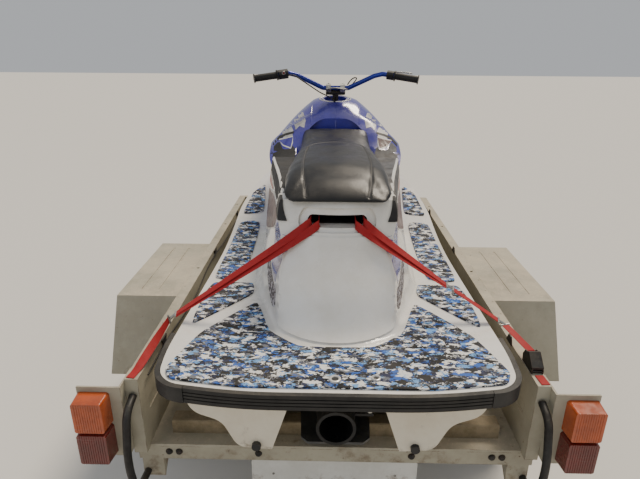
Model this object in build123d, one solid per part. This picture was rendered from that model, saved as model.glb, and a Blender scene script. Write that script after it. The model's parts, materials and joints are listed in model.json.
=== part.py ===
# Sit-down personal watercraft on a two-wheel utility box trailer.
# Millimetres. X to the right of someone looking forward, Y forward to the bow, Z up from the ground.
# Everything is drawn with Y counted from the stern, and is moved to the middle when it is written.

from build123d import *
from math import cos, radians, sin, tan
import os

# Whole object
LENGTH = 3300            # stern bumper to the nose of the coupler
SEAM = 0.3               # gap of a piece that lies on a curved face
FIT = 0.05               # radial clearance of a shaft or pin in its hole
FREE = 5                 # gap round a piece that moves

# Trailer box
FLOOR_TOP, FLOOR_THICK, FLOOR_REAR = 497, 9, 156
TIMBER = 48              # square section of the timbers under the hull
TIMBER_PLACES = [(228, 500), (1060, 380), (1800, 380)]   # station, half length
WALL_INNER = 555         # half the width between the side walls
WALL_THICK = 4
WALL_TALL = 248          # top of the walls above the floor
WALL_REAR, WALL_FRONT = 130, 2030
FLANGE = 38              # top flange of a wall, and depth of its posts
POST_PLACES = (130, 640, 1300, 1990)
SWAGE_TALL, SWAGE_DEEP = 46, 3       # pressed stiffening along each wall
LASHING_PLACES = (440, 905, 1490, 1860)  # holes in the top flange
NOTCH_HALF, NOTCH_LOW = 235, 75      # opening of the front board under the bow, above the floor

# Chassis, running gear and drawbar
RAIL_X = 470
RAIL_WIDE, RAIL_TALL, RAIL_WALL = 40, 48, 4
CROSS_PLACES = (560, 1300, 1986)
SILL_DEEP, SILL_TALL, GUSSET_TALL = 50, 46, 66
AXLE_Y = 970
TYRE_RADIUS, TYRE_WIDE = 289, 155
RIM_RADIUS = 165
TRACK_HALF = 715         # middle of a tyre from the centre plane
SPINDLE_RADIUS = 17.5
HUB_RADIUS = 34
STUD_CIRCLE, STUD_RADIUS = 52, 6
AXLE_SIZE = 50
HUB_REACH = 100          # hub from the middle of the tyre inwards
SPRING_HALF, SPRING_RISE = 340, 42
SPRING_WIDE, LEAF = 50, 7
LEAVES = (340, 265, 190, 115)        # half length of each leaf, longest on top
FENDER_GAP = 47.5        # outside of a tyre to the outside of its fender
FENDER_RISE = 142        # top of a tyre to the top of its fender
FENDER_REAR, FENDER_FRONT = 690, 1255
FENDER_FLARE, FENDER_LOW, FENDER_LIP = 140, 460, 70
SHEET = 3
BAR_SIZE = 60            # drawbar tube
BAR_REAR_X, BAR_REAR_Y = 400, 1500
BAR_FRONT_X = 48
NOSE = 250               # end of the drawbar to the nose of the coupler
BALL_RADIUS, BALL_BACK, HEAD_RADIUS = 25, 45, 45
STAND_BACK = 600         # hinge of the stand to the nose of the coupler
STAND_LEAN = 24          # the foot stands this far ahead of its hinge
STAND_TUBE = 40
TIE_AHEAD = 34           # cross tie in front of the stand's hinge

# Heights and places that follow from them
WALL_TOP = FLOOR_TOP + WALL_TALL
FRAME_TOP = FLOOR_TOP - FLOOR_THICK
RAIL_LOW = FRAME_TOP - RAIL_TALL
BAR_LOW = RAIL_LOW - BAR_SIZE
BAR_FRONT_Y = LENGTH - NOSE
STAND_Y, STAND_Z = LENGTH - STAND_BACK, BAR_LOW + 15
AXLE_HALF = TRACK_HALF - HUB_REACH - 15
FENDER_OUT = TRACK_HALF + TYRE_WIDE / 2 + FENDER_GAP
FENDER_TOP = 2 * TYRE_RADIUS + FENDER_RISE
FENDER_IN = WALL_INNER + FLANGE

# Watercraft, outside form. Its heights count from the ground with its keel at KEEL.
KEEL = 545
LIFT = FLOOR_TOP + TIMBER - KEEL
DECK_EDGE = 45           # height of the moulded edge that joins hull and deck
TAIL = 800               # height of the flat tail of the deck
TRANSOM = 90
BUMPER, CAP = 14, 1.5
BUMPER_END = 290
CAP_INNER = 396          # where the corner caps of the stern bumper begin
GROOVE = 3
MAT = 6
PED_FRONT, PED_TOP = 1180, 1150
SLOT_HALF, SLOT_TALL, SLOT_Z, SLOT_DEEP = 94, 36, 1110, 560
TROUGH_HALF, TROUGH_TALL, TROUGH_DEEP = 122, 60, 11
HOOD_REAR, HOOD_FRONT, HOOD_WALL = 1735, 2450, 12
BROW_WIDE, BROW_DROP, FLANK_BULGE = 0.38, 0.1, 0.05   # shares of a bodywork arch
SEAT_GAP = 6

# Deck line seen from the side: station, height
SHEER = [(-60, TAIL), (1060, TAIL), (1480, 872), (1740, 950), (2140, 1000), (2700, 1018)]
# Deck outline, right half: half width, station
PLAN = [(250, BUMPER), (470, 50), (488, 190), (474, 820), (474, 1480), (392, 1760), (160, 2440), (24, 2622)]

# Hull frames, right half: station, keel z, then x and z of pad, chine, knee, side and edge
HULL_FRAMES = [
    (TRANSOM, 545, 187, 547, 276, 553, 318, 642, 396, 672, 452, 800),
    (800, 545, 150, 553, 300, 572, 340, 655, 420, 690, 458, 800),
    (1450, 545, 105, 574, 285, 636, 322, 702, 412, 756, 452, 890),
    (1950, 592, 70, 634, 205, 732, 232, 780, 296, 858, 330, 1010),
    (2320, 716, 40, 752, 112, 838, 128, 874, 166, 938, 192, 1040),
    (2570, 905, 14, 915, 25, 942, 29, 956, 36, 988, 44, 1060),
]
# Pedestal, level outlines: z, nose station, nose x and y, waist x and y, front x
PEDESTAL = [
    (798, 222, 186, 290, 305, 660, 336),
    (826, 262, 172, 322, 280, 670, 320),
    (870, 290, 167, 345, 267, 682, 312),
    (960, 347, 156, 393, 240, 707, 296),
    (1060, 412, 145, 447, 209, 735, 278),
    (PED_TOP, 470, 134, 496, 182, 760, 262),
]
# Bodywork arches: station, foot x, shoulder x, shoulder z, crown z, tuck under the shoulder
ARCHES = [
    (PED_FRONT, 334, 262, 1075, 1160, 2),
    (1400, 336, 306, 1140, 1262, 20),
    (1590, 322, 286, 1165, 1372, 16),
    (1760, 300, 252, 1162, 1356, 10),
    (1960, 262, 214, 1144, 1300, 8),
    (2210, 202, 158, 1108, 1206, 6),
    (HOOD_FRONT, 118, 92, 1062, 1096, 3),
]
# Seat frames: station, base half width, side half width, side z, crown z
SEAT_FRAMES = [
    (440, 120, 128, 1158, 1168),
    (500, 172, 188, 1176, 1214),
    (650, 176, 198, 1190, 1262),
    (900, 168, 188, 1190, 1266),
    (1150, 140, 158, 1188, 1254),
    (1420, 104, 120, 1212, 1284),
]
# Mats, right side: each a list of half width, station
REAR_MAT = [(452, 105), (412, 287), (266, 500), (205, 300), (110, 215)]
SIDE_MATS = [
    [(468, 320), (476, 560), (456, 640), (300, 640), (287, 560)],
    [(462, 672), (454, 1256), (352, 1266), (346, 690)],
    [(456, 1340), (444, 1560), (372, 1650), (350, 1360)],
]

# Jet pump and steering
PUMP_Z = 630
TUNNEL_TOP, TUNNEL_X, TUNNEL_FOOT = 706, 137, 187
BULKHEAD = 505
DUCT_OUT, DUCT_WALL = 68, 4
NOZZLE_Y, NOZZLE_REAR = 190, 80
NOZZLE_BELL, NOZZLE_EXIT, NOZZLE_WALL = 58, 52.5, 6
TIP_GAP = 5.5            # impeller to the duct
PUMP_HUB = 20
# Impeller blade sections: radius, pitch angle, chord, thickness
BLADE = [(16, 58, 46, 6), (36, 42, 56, 4), (60, 30, 62, 2.5)]
ARM_REACH, ARM_Y = 98, 151   # eye of the steering rod
SHAFT = 12
ENGINE_REAR, ENGINE_FRONT, ENGINE_HALF = 815, 1150, 158
ENGINE_LOW, ENGINE_TOP = 618, 955
COLUMN_Y, COLUMN_Z, COLUMN_LEAN = 1520, 1443, 30
COLUMN_RADIUS = 15
TUBE_RADIUS = 11.1
CLAMP_DROP = TUBE_RADIUS + 0.9       # bar's centre to the seat of its clamps
CLAMP_RADIUS = TUBE_RADIUS + 8
GRIP_RADIUS = TUBE_RADIUS + 5
BAR_HALF = 382
STRAP, WEB = 25, 2.5     # webbing, wide and thick


def soft_line(points, share=0.45, close=False):
    """Straight runs with the largest arcs that both runs at a corner leave room for."""
    pts = [Vector(*p) for p in points]
    count = len(pts)
    corners = range(count) if close else range(1, count - 1)
    radii = []
    for i in corners:
        before, after = pts[i] - pts[i - 1], pts[(i + 1) % count] - pts[i]
        turn = radians(before.get_angle(after))
        radii.append(share * min(before.length, after.length) / tan(turn / 2))
    return FilletPolyline(*pts, radius=radii, close=close)


def side_plate(points, x0, x1):
    """A flat outline of stations and heights, from x0 to x1."""
    face = make_face(Plane.YZ * Polyline(*points, close=True))
    return Pos(x0, 0, 0) * extrude(face, amount=x1 - x0, dir=(1, 0, 0))


def level_plate(points, z0, z1):
    """A flat outline in plan, from z0 to z1."""
    return extrude(make_face(Pos(0, 0, z0) * Polyline(*points, close=True)), amount=z1 - z0)


def block(x0, x1, y0, y1, z0, z1):
    """A square block between two corners."""
    return Pos((x0 + x1) / 2, (y0 + y1) / 2, (z0 + z1) / 2) * Box(x1 - x0, y1 - y0, z1 - z0)


def rod(start, end, radius):
    """A round bar between two points."""
    axis = Vector(*end) - Vector(*start)
    return extrude(Plane(start, z_dir=axis) * Circle(radius), amount=axis.length)


def both(shape):
    """A shape and its mirror image."""
    return [shape, shape.mirror(Plane.YZ)]


def mirrored(points):
    """Outline points with their mirror images, in order round the outline."""
    return points + [(-x, y) for x, y in reversed(points)]


def below_deck(rise=0.0):
    """Everything under the deck line, raised by a given amount."""
    line = Plane.YZ * Pos(0, rise) * soft_line(SHEER)
    (y0, _), (y1, _) = SHEER[0], SHEER[-1]
    z0, z1 = SHEER[0][1] + rise, SHEER[-1][1] + rise
    rest = Plane.YZ * Polyline((y1, z1), (y1, 300), (y0, 300), (y0, z0))
    face = make_face([line, rest])
    return extrude(face, amount=700, both=True)


def deck_outline(grow=0.0):
    """The deck seen from above."""
    face = make_face(soft_line(mirrored(PLAN), close=True))
    return offset(face, amount=grow) if grow else face


def deck_band(face, low, high):
    """The outline, between two heights above the deck line."""
    column = extrude(Pos(0, 0, 600) * face, amount=700)
    return (column & below_deck(high)) - below_deck(low)


def frame_plane(station):
    """An upright plane across the craft: x to the right, y up."""
    return Plane((0, station, 0), x_dir=(1, 0, 0), z_dir=(0, -1, 0))


def hull():
    """Lower hull with the pump tunnel, the intake, the shaft hole and the engine bay."""
    frames = []
    for y, keel, *half in HULL_FRAMES:
        points = [(0, keel)] + list(zip(half[0::2], half[1::2]))
        right = soft_line(points, share=0.3)
        top = Line(points[-1], (-points[-1][0], points[-1][1]))
        frames.append(frame_plane(y) * make_face([right, right.mirror(Plane.YZ), top]))
    body = loft(frames) & below_deck(-DECK_EDGE - SEAM)
    body -= block(-600, 600, 0, 3000, 0, KEEL)
    body -= pump_tunnel() + intake() + engine_bay() + bin_space()
    body -= rod((0, 500, PUMP_Z), (0, ENGINE_REAR, PUMP_Z), SHAFT + FIT)
    return body


def pump_tunnel():
    """Space for the pump, open to the rear and below."""
    foot = KEEL - 20
    ring = mirrored([(TUNNEL_X - 30, TUNNEL_TOP), (TUNNEL_X, TUNNEL_TOP - 26), (TUNNEL_FOOT, foot)])
    return extrude(frame_plane(BULKHEAD) * make_face(Polyline(*ring, close=True)), amount=BULKHEAD)


def intake():
    """Water way from the mouth in the bottom up to the pump."""
    top, low = PUMP_Z + DUCT_OUT - DUCT_WALL, PUMP_Z - DUCT_OUT + DUCT_WALL
    ring = [(BULKHEAD - 1, top), (540, top), (930, 545), (930, 500), (650, 500), (600, low), (BULKHEAD - 1, low)]
    return side_plate(ring, -80, 80)


def engine_bay(gap=8):
    """Space round the engine, in the hull and the pedestal."""
    return block(-ENGINE_HALF - gap, ENGINE_HALF + gap, ENGINE_REAR - gap, ENGINE_FRONT + gap,
                 ENGINE_LOW, ENGINE_TOP + gap)


def pedestal(grow=0.0):
    """The raised middle that carries the seat, wide at its foot."""
    levels = []
    for z, nose, nx, ny, wx, wy, fx in PEDESTAL:
        nose, nx, wx, fx = nose - grow, nx + grow / 2, wx + grow, fx + grow
        rear = ThreePointArc((-nx, ny - grow), (0, nose), (nx, ny - grow))
        sides = Polyline((nx, ny - grow), (wx, wy), (fx, PED_FRONT), (-fx, PED_FRONT), (-wx, wy),
                         (-nx, ny - grow))
        levels.append(Pos(0, 0, z) * make_face([rear, sides]))
    return loft(levels)


def trough():
    """Shallow scoop round the hand-hold, as deep everywhere as the trough is."""
    region = RectangleRounded(2 * TROUGH_HALF, TROUGH_TALL, TROUGH_TALL / 2 - 4)
    scoop = extrude(frame_plane(SLOT_DEEP) * Pos(0, SLOT_Z) * region, amount=SLOT_DEEP - 300)
    return scoop - Pos(0, TROUGH_DEEP, 0) * pedestal()


def seat_corner_pads():
    """Rubber pads on the two rear corners of the pedestal, below the seat."""
    skin = pedestal(4 + SEAM) - pedestal(SEAM)
    pad = skin & block(134, 240, 440, 548, PED_TOP - 42, PED_TOP)
    return Compound(children=both(pad))


def hand_slot(grow=0.0, y0=300, y1=SLOT_DEEP):
    """The rounded slot through the rear of the pedestal."""
    shape = SlotOverall(2 * (SLOT_HALF + grow), SLOT_TALL + 2 * grow)
    return extrude(frame_plane(y1) * Pos(0, SLOT_Z) * shape, amount=y1 - y0)


def deck():
    """Upper moulding: flat tail, tray sides, pedestal and front."""
    body = deck_band(deck_outline(), -DECK_EDGE, 0) + pedestal()
    body -= trough()
    body -= hand_slot() + engine_bay() + bin_space()
    return body


def bin_space(grow=SEAM):
    """Hole in the deck and hull for the storage bin."""
    return block(-120 - grow, 120 + grow, 1830 - grow, 2110 + grow, 800, 1200)


def storage_bin():
    """Open bin under the hood with a rim on the deck."""
    return block(-120, 120, 1830, 2110, 800 + SEAM, 1006) - block(-116, 116, 1834, 2106, 806, 1300)


def bodywork(inset=0.0):
    """Master form of cowl and hood: a flat brow, bulged flanks and a tuck under each shoulder."""
    frames = []
    for y, foot, sx, sz, crown, tuck in ARCHES:
        foot, sx, sz, crown = foot - inset, sx - inset, sz - inset / 2, crown - inset
        bx, bz = BROW_WIDE * sx, crown - BROW_DROP * (crown - sz)
        mx, mz = (sx + bx) / 2 + FLANK_BULGE * (bz - sz), (sz + bz) / 2 + FLANK_BULGE * (sx - bx)
        brow = ThreePointArc((bx, bz), (0, crown), (-bx, bz))
        flank = ThreePointArc((sx, sz), (mx, mz), (bx, bz))
        under = [(sx, sz), (sx - tuck, sz - tuck), (foot, 760)]
        base = Polyline(*mirrored(under))
        frames.append(frame_plane(y) * make_face([brow, flank, flank.mirror(Plane.YZ), base]))
    return loft(frames)


def column_line(up):
    """A point on the steering axis, counted from the bar clamps."""
    lean = radians(COLUMN_LEAN)
    return (0, COLUMN_Y - up * sin(lean), COLUMN_Z + up * cos(lean))


def column_plane(up):
    """A plane square to the steering axis, y towards the bow."""
    lean = radians(COLUMN_LEAN)
    return Plane(column_line(up), x_dir=(1, 0, 0), z_dir=(0, -sin(lean), cos(lean)))


def cowl():
    """Fixed fairing from the seat to the hood, with the slot for the column."""
    body = bodywork() & block(-500, 500, PED_FRONT, HOOD_REAR, 700, 1500)
    body -= below_deck(SEAM)
    body -= seat(SEAT_GAP)
    body -= extrude(column_plane(-118) * SlotOverall(110, 66), amount=200)
    body -= extrude(column_plane(-180) * Circle(COLUMN_RADIUS + FIT), amount=100)
    return body


def hood():
    """Front lid, hollow, hinged at its foremost edge."""
    shell = bodywork() - bodywork(HOOD_WALL)
    shell &= block(-500, 500, HOOD_REAR + FREE, HOOD_FRONT - 1, 700, 1500)
    front = bodywork() & block(-500, 500, HOOD_FRONT - 40, HOOD_FRONT - 1, 700, 1500)
    shell = (shell + front) - below_deck(FREE)
    y, z = hinge_line()
    knuckle = rod((-30, y, z), (30, y, z), 10) + block(-30, 30, HOOD_FRONT - 30, y, z - 6, z + 8)
    return shell + knuckle - rod((-40, y, z), (40, y, z), 5 + FIT)


def hinge_line():
    """Station and height of the hood's hinge pin."""
    return HOOD_FRONT + 14, 1034


def hood_hinge():
    """Two ears on the deck and the pin between them."""
    y, z = hinge_line()
    ears = []
    for x in (-44, 34):
        foot = block(x, x + 10, y - 8, y + 8, z - 40, z) - below_deck(SEAM)
        ears.append(foot + rod((x, y, z), (x + 10, y, z), 8))
    return ears[0] + ears[1] + rod((-44, y, z), (44, y, z), 5)


def seat(grow=0.0):
    """Crowned saddle, or the space that it needs."""
    frames = []
    last = len(SEAT_FRAMES) - 1
    for i, (y, bx, sx, sz, crown) in enumerate(SEAT_FRAMES):
        y += grow * ((i == last) - (i == 0))
        bx, sx, crown = bx + grow, sx + grow, crown + grow
        low = PED_TOP + (0 if grow else SEAM)
        arch = ThreePointArc((sx, sz), (0, crown), (-sx, sz))
        base = Polyline((-sx, sz), (-bx, low), (bx, low), (sx, sz))
        frames.append(frame_plane(y) * make_face([arch, base]))
    return loft(frames)


def bumpers():
    """Grooved rubber strip round the stern with its corner caps, and a plain strip round the bow."""
    ring = deck_outline(BUMPER) - deck_outline(SEAM)
    strip = deck_band(ring, -DECK_EDGE, 0)
    bow = strip & block(-700, 700, 2360, 2800, 0, 2000)
    middle = strip & block(-CAP_INNER + 1, CAP_INNER - 1, -50, BUMPER_END, 0, 2000)
    skin = deck_outline(BUMPER + 1) - deck_outline(BUMPER - GROOVE)
    for i in range(3):
        middle -= extrude(Pos(0, 0, TAIL - 14 - 10 * i) * skin, amount=GROOVE)
    cap = extrude(Pos(0, 0, TAIL - DECK_EDGE) * (deck_outline(BUMPER + CAP) - deck_outline(SEAM)), amount=DECK_EDGE)
    cap &= block(CAP_INNER, 700, -50, BUMPER_END, 0, 2000)
    return Compound(children=[middle] + both(cap)), bow


def bow_eye():
    """Towing eye on the stem."""
    y, low, high = HULL_FRAMES[-1][0] + SEAM, 912, 952
    points = [(0, y, low), (0, y + 32, low), (0, y + 32, high), (0, y, high)]
    path = FilletPolyline(*points, radius=14)
    eye = sweep(Plane(path @ 0, z_dir=path % 0) * Circle(4.5), path=path)
    for z in (low, high):
        eye += rod((0, y, z), (0, y + 3, z), 9)
    return eye


def traction_mats():
    """Foam mats on the flat parts of the deck."""
    outlines = [mirrored(REAR_MAT)]
    for points in SIDE_MATS:
        outlines += [points, [(-x, y) for x, y in points]]
    mats = []
    for points in outlines:
        mats.append(deck_band(make_face(soft_line(points, share=0.12, close=True)), SEAM, MAT))
    return Compound(children=mats)


def engine():
    """Two-cylinder engine as one plain block, with the socket for the shaft."""
    body = block(-ENGINE_HALF, ENGINE_HALF, ENGINE_REAR, ENGINE_FRONT, ENGINE_LOW, ENGINE_TOP)
    return body - rod((0, ENGINE_REAR - 5, PUMP_Z), (0, ENGINE_REAR + 30, PUMP_Z), SHAFT + FIT)


def impeller():
    """Hub with three twisted blades, on its shaft."""
    tip = DUCT_OUT - DUCT_WALL - TIP_GAP
    profile = [(0, 418), (PUMP_HUB - 2, 418), (PUMP_HUB, 422), (PUMP_HUB, 478), (SHAFT, 494), (0, 494)]
    body = revolve(make_face(Polyline(*profile, close=True)), Axis.Y)
    for i in range(3):
        sections = [Pos(r, 0, 0) * Rot(pitch, 0, 0) * (Plane.YZ * Rectangle(chord, thick))
                    for r, pitch, chord, thick in BLADE]
        body += Rot(0, 120 * i, 0) * Pos(0, 452, 0) * loft(sections)
    body &= rod((0, 418, 0), (0, 494, 0), tip)
    body += rod((0, 480, 0), (0, ENGINE_REAR + 25, 0), SHAFT)
    return Pos(0, 0, PUMP_Z) * body


def guide_vane():
    """One curved vane of the pump, drawn to the right of its axis."""
    front = ThreePointArc((314, -3), (352, 7), (398, -8))
    back = ThreePointArc((398, -11), (352, 3), (314, -6))
    ends = [Line((314, -3), (314, -6)), Line((398, -8), (398, -11))]
    return Pos(PUMP_HUB - 4, 0, 0) * extrude(Plane.YZ * make_face([front, back] + ends), amount=DUCT_OUT, dir=(1, 0, 0))


def pump_housing():
    """Duct with its flange on the bulkhead, guide vanes, outlet cone and pivot arms."""
    inner = DUCT_OUT - DUCT_WALL
    cone = [(DUCT_OUT, BULKHEAD), (DUCT_OUT, 300), (40, 200), (40, 180), (36, 180), (36, 205), (inner, 303),
            (inner, BULKHEAD)]
    body = revolve(make_face(Polyline(*cone, close=True)), Axis.Y)
    for y in (300, 396):
        body += rod((0, y, 0), (0, y + 8, 0), DUCT_OUT + 5) - rod((0, y - 1, 0), (0, y + 9, 0), inner + 2)
    flange = extrude(frame_plane(BULKHEAD - SEAM) * RectangleRounded(208, 148, 22), amount=10)
    body += flange - rod((0, 480, 0), (0, 520, 0), inner)
    profile = [(0, 262), (PUMP_HUB - 8, 282), (PUMP_HUB, 318), (PUMP_HUB, 412), (0, 412)]
    hub = revolve(make_face(Polyline(*profile, close=True)), Axis.Y)
    for i in range(5):
        hub += Rot(0, 72 * i, 0) * guide_vane()
    body += hub & rod((0, 255, 0), (0, 420, 0), inner + 1)
    for side in (1, -1):
        z = side * (NOZZLE_BELL + 7)
        arm = extrude(Pos(0, 0, z - 3) * make_face(Polyline((-12, 190), (-12, 260), (-30, 320), (30, 320), (12, 260),
                                                           (12, 190), close=True)), amount=6)
        arm += rod((0, NOZZLE_Y, z - 3), (0, NOZZLE_Y, z + 3), 12)
        body += arm - rod((0, NOZZLE_Y, z - 10), (0, NOZZLE_Y, z + 10), 5 + FIT)
    body -= rod((0, 412, 0), (0, BULKHEAD + 5, 0), inner)
    return Pos(0, 0, PUMP_Z) * body


def steer_nozzle():
    """Steerable nozzle with its two pivot pins and its arm."""
    lip = NOZZLE_EXIT + 3
    ring = [(NOZZLE_BELL, NOZZLE_Y), (NOZZLE_EXIT, NOZZLE_REAR + 14), (lip, NOZZLE_REAR + 10), (lip, NOZZLE_REAR),
            (NOZZLE_EXIT - NOZZLE_WALL, NOZZLE_REAR), (NOZZLE_BELL - NOZZLE_WALL, NOZZLE_Y)]
    body = Pos(0, 0, PUMP_Z) * revolve(make_face(Polyline(*ring, close=True)), Axis.Y)
    for side in (1, -1):
        z0, z1 = PUMP_Z + side * (NOZZLE_BELL - 3), PUMP_Z + side * (NOZZLE_BELL + 10)
        body += rod((0, NOZZLE_Y - 4, z0), (0, NOZZLE_Y - 4, PUMP_Z + side * (NOZZLE_BELL + 3)), 8)
        body += rod((0, NOZZLE_Y, z0), (0, NOZZLE_Y, z1), 5)
    body -= block(-20, 20, NOZZLE_Y - 20, NOZZLE_Y + 20, PUMP_Z - NOZZLE_BELL + NOZZLE_WALL,
                  PUMP_Z + NOZZLE_BELL - NOZZLE_WALL)
    arm = block(50, ARM_REACH + 10, ARM_Y - 11, ARM_Y + 11, PUMP_Z - 4, PUMP_Z + 4)
    return body + arm


def steer_rod():
    """Push rod from the hull, with its eye beside the nozzle's arm."""
    z = PUMP_Z + 10
    x, y = ARM_REACH, ARM_Y
    eye = rod((x, y, z - 4), (x, y, z + 4), 11) - rod((x, y, z - 10), (x, y, z + 10), 5)
    return eye + rod((x + 2, y + 7.5, z), (x + 24, BULKHEAD - 1, z), 3.5)


def ride_plate():
    """Flat plate that closes the tunnel below."""
    z = KEEL + 0.5
    ring = [(80, 115), (100, 135), (110, 300), (150, 360), (150, BULKHEAD - SEAM)]
    return level_plate(mirrored(ring), z, z + 8)


def intake_grate():
    """Bars across the intake mouth."""
    z = KEEL + 0.5
    grate = block(-79.5, 79.5, 652, 670, z, z + 8) + block(-79.5, 79.5, 905, 912, z, z + 3)
    for x in (-45, 0, 45):
        grate += block(x - 4, x + 4, 660, 912, z, z + 3) + block(x - 4, x + 4, 660, 860, z, z + 8)
    return grate


def drain_plugs():
    """Two drain plugs in the transom."""
    plugs = []
    for x in (-223, 223):
        plugs.append(rod((x, TRANSOM - 12, 562), (x, TRANSOM - SEAM, 562), 13))
    return Compound(children=plugs)


def deck_fittings():
    """Flush rings on the tail of the deck."""
    parts = []
    for x, y, r in ((-6, 60, 17), (101, 67, 13)):
        parts.append(rod((x, y, TAIL), (x, y, TAIL + 5), r) - rod((x, y, TAIL + 2), (x, y, TAIL + 9), r - 6))
    return Compound(children=parts)


def steering_column():
    """Leaning column with the clamp seat on top."""
    body = rod(column_line(-160), column_line(-CLAMP_DROP - 12), COLUMN_RADIUS)
    return body + extrude(column_plane(-CLAMP_DROP - 14) * RectangleRounded(96, 2 * CLAMP_RADIUS + 2, 8), amount=14)


def bar_path():
    """Centre line of the handlebar in its own plane: x, forward, up the column."""
    right = [(62, 0, 0), (184, 8, 62), (222, 0, 78), (BAR_HALF, -52, 82)]
    points = [(-x, y, z) for x, y, z in reversed(right)] + right
    plane = column_plane(0)
    return [plane.from_local_coords(Vector(*p)) for p in points]


def handlebar():
    """Bent tube handlebar."""
    points = bar_path()
    path = FilletPolyline(*points, radius=30)
    return sweep(Plane(path @ 0, z_dir=path % 0) * Circle(TUBE_RADIUS), path=path)


def bar_clamps():
    """Two split clamps with round caps that hold the bar on the column."""
    plane, seat_plane = column_plane(0), column_plane(-CLAMP_DROP + SEAM)
    clamps = []
    for x in (-34, 34):
        ends = [plane.from_local_coords((x + i, 0, 0)) for i in (-12, 12)]
        body = extrude(seat_plane * Pos(x, 0) * RectangleRounded(24, 2 * CLAMP_RADIUS, 5), amount=CLAMP_DROP)
        body += rod(*ends, CLAMP_RADIUS) & extrude(seat_plane * Pos(x, 0) * Rectangle(24, 60), amount=60)
        for y in (-CLAMP_RADIUS + 4, CLAMP_RADIUS - 4):
            body += rod(*[plane.from_local_coords((x, y, z)) for z in (0, 13)], 4)
        clamps.append(body - rod(*ends, TUBE_RADIUS + FIT))
    return Compound(children=clamps)


def along_grip(start, end, side):
    """Two points on the outer straight of the bar, counted from its end."""
    points = bar_path()
    tip, root = (points[-1], points[-2]) if side > 0 else (points[0], points[1])
    run = (root - tip).normalized()
    return tip + run * start, tip + run * end


def grips():
    """Rubber grips with an inner flange and an end flange."""
    parts = []
    for side in (1, -1):
        body = rod(*along_grip(-4, 110, side), GRIP_RADIUS)
        for start, rim_wide in ((-4, 5), (106, 8)):
            body += rod(*along_grip(start, start + 4, side), GRIP_RADIUS + rim_wide)
        parts.append(body - rod(*along_grip(0, 111, side), TUBE_RADIUS + SEAM))
    return Compound(children=parts)


def bar_pod(side, start, end, wide):
    """A rounded housing clamped round the bar."""
    a, b = along_grip(start, end, side)
    up = column_plane(0).z_dir
    section = Plane(a, x_dir=up, z_dir=b - a) * RectangleRounded(wide, wide - 6, wide / 3)
    pod = extrude(section, amount=(b - a).length)
    return pod - rod(*along_grip(start - 5, end + 5, side), TUBE_RADIUS + SEAM)


def throttle_lever():
    """Finger lever in front of the right grip, hinged on the throttle housing."""
    root, inner = along_grip(130, 131, 1)
    ahead = (inner - root).cross(column_plane(0).z_dir).normalized()
    points = []
    for along, reach in ((130, THROTTLE[2] / 2 - 3 + 5 * SEAM), (124, 34), (72, 42), (34, 44)):
        points.append(along_grip(along, along + 1, 1)[0] + ahead * reach)
    path = FilletPolyline(*points, radius=8)
    return sweep(Plane(path @ 0, z_dir=path % 0) * Circle(3.5), path=path)


def control_cables():
    """Cable from the switch housing along the bar and into the rear of the column."""
    plane = column_plane(0)
    start, inner = along_grip(SWITCHES[1] + SEAM, SWITCHES[1] + 26, -1)
    back = (inner - start).cross(plane.z_dir).normalized() * (TUBE_RADIUS + 3.6)
    points = [start + back, inner + back * 1.4]
    for local in ((-72, -34, -6), (-28, -38, -26), (-2, -35, -56), (0, -COLUMN_RADIUS - 4 * SEAM, -66)):
        points.append(plane.from_local_coords(Vector(*local)))
    path = soft_line(points)
    return sweep(Plane(path @ 0, z_dir=path % 0) * Circle(3), path=path)


def timbers():
    """Timbers across the floor that carry the hull."""
    bars = []
    for y, half in TIMBER_PLACES:
        bar = block(-half, half, y - TIMBER / 2, y + TIMBER / 2, FLOOR_TOP, FLOOR_TOP + TIMBER - SEAM)
        bars.append(chamfer(bar.edges().filter_by(Axis.X).group_by(Axis.Z)[-1], 3))
    return Compound(children=bars)


def box_floor():
    """Sheet floor of the box."""
    return block(-WALL_INNER, WALL_INNER, FLOOR_REAR, WALL_FRONT, FRAME_TOP, FLOOR_TOP)


def side_wall():
    """Right side wall with its holed top flange, a pressed swage and angle posts."""
    outer = WALL_INNER + WALL_THICK
    wall = block(WALL_INNER, outer, WALL_REAR, WALL_FRONT, FRAME_TOP, WALL_TOP)
    wall += block(WALL_INNER, WALL_INNER + FLANGE, WALL_REAR, WALL_FRONT, WALL_TOP - WALL_THICK, WALL_TOP)
    mid = FLOOR_TOP + WALL_TALL / 2
    for x, spread in ((outer, 0), (WALL_INNER, -WALL_THICK)):
        half = SWAGE_TALL / 2 + spread
        ring = [(x - 1, mid - half - 1), (x + SWAGE_DEEP, mid - half + SWAGE_DEEP),
                (x + SWAGE_DEEP, mid + half - SWAGE_DEEP), (x - 1, mid + half + 1)]
        plane = Plane((0, WALL_FRONT - 60, 0), x_dir=(1, 0, 0), z_dir=(0, -1, 0))
        swage = extrude(plane * make_face(Polyline(*ring, close=True)), amount=WALL_FRONT - WALL_REAR - 120)
        wall = wall - swage if spread else wall + swage
    for y in POST_PLACES:
        wall += block(outer - 1, WALL_INNER + FLANGE, y, y + WALL_THICK, FRAME_TOP, WALL_TOP)
        wall += block(WALL_INNER + FLANGE - WALL_THICK, WALL_INNER + FLANGE, y, y + 40, FRAME_TOP, WALL_TOP)
    for y in LASHING_PLACES:
        x = WALL_INNER + FLANGE / 2 + 2
        wall -= rod((x, y, WALL_TOP - 20), (x, y, WALL_TOP + 5), 6)
    return wall


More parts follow.
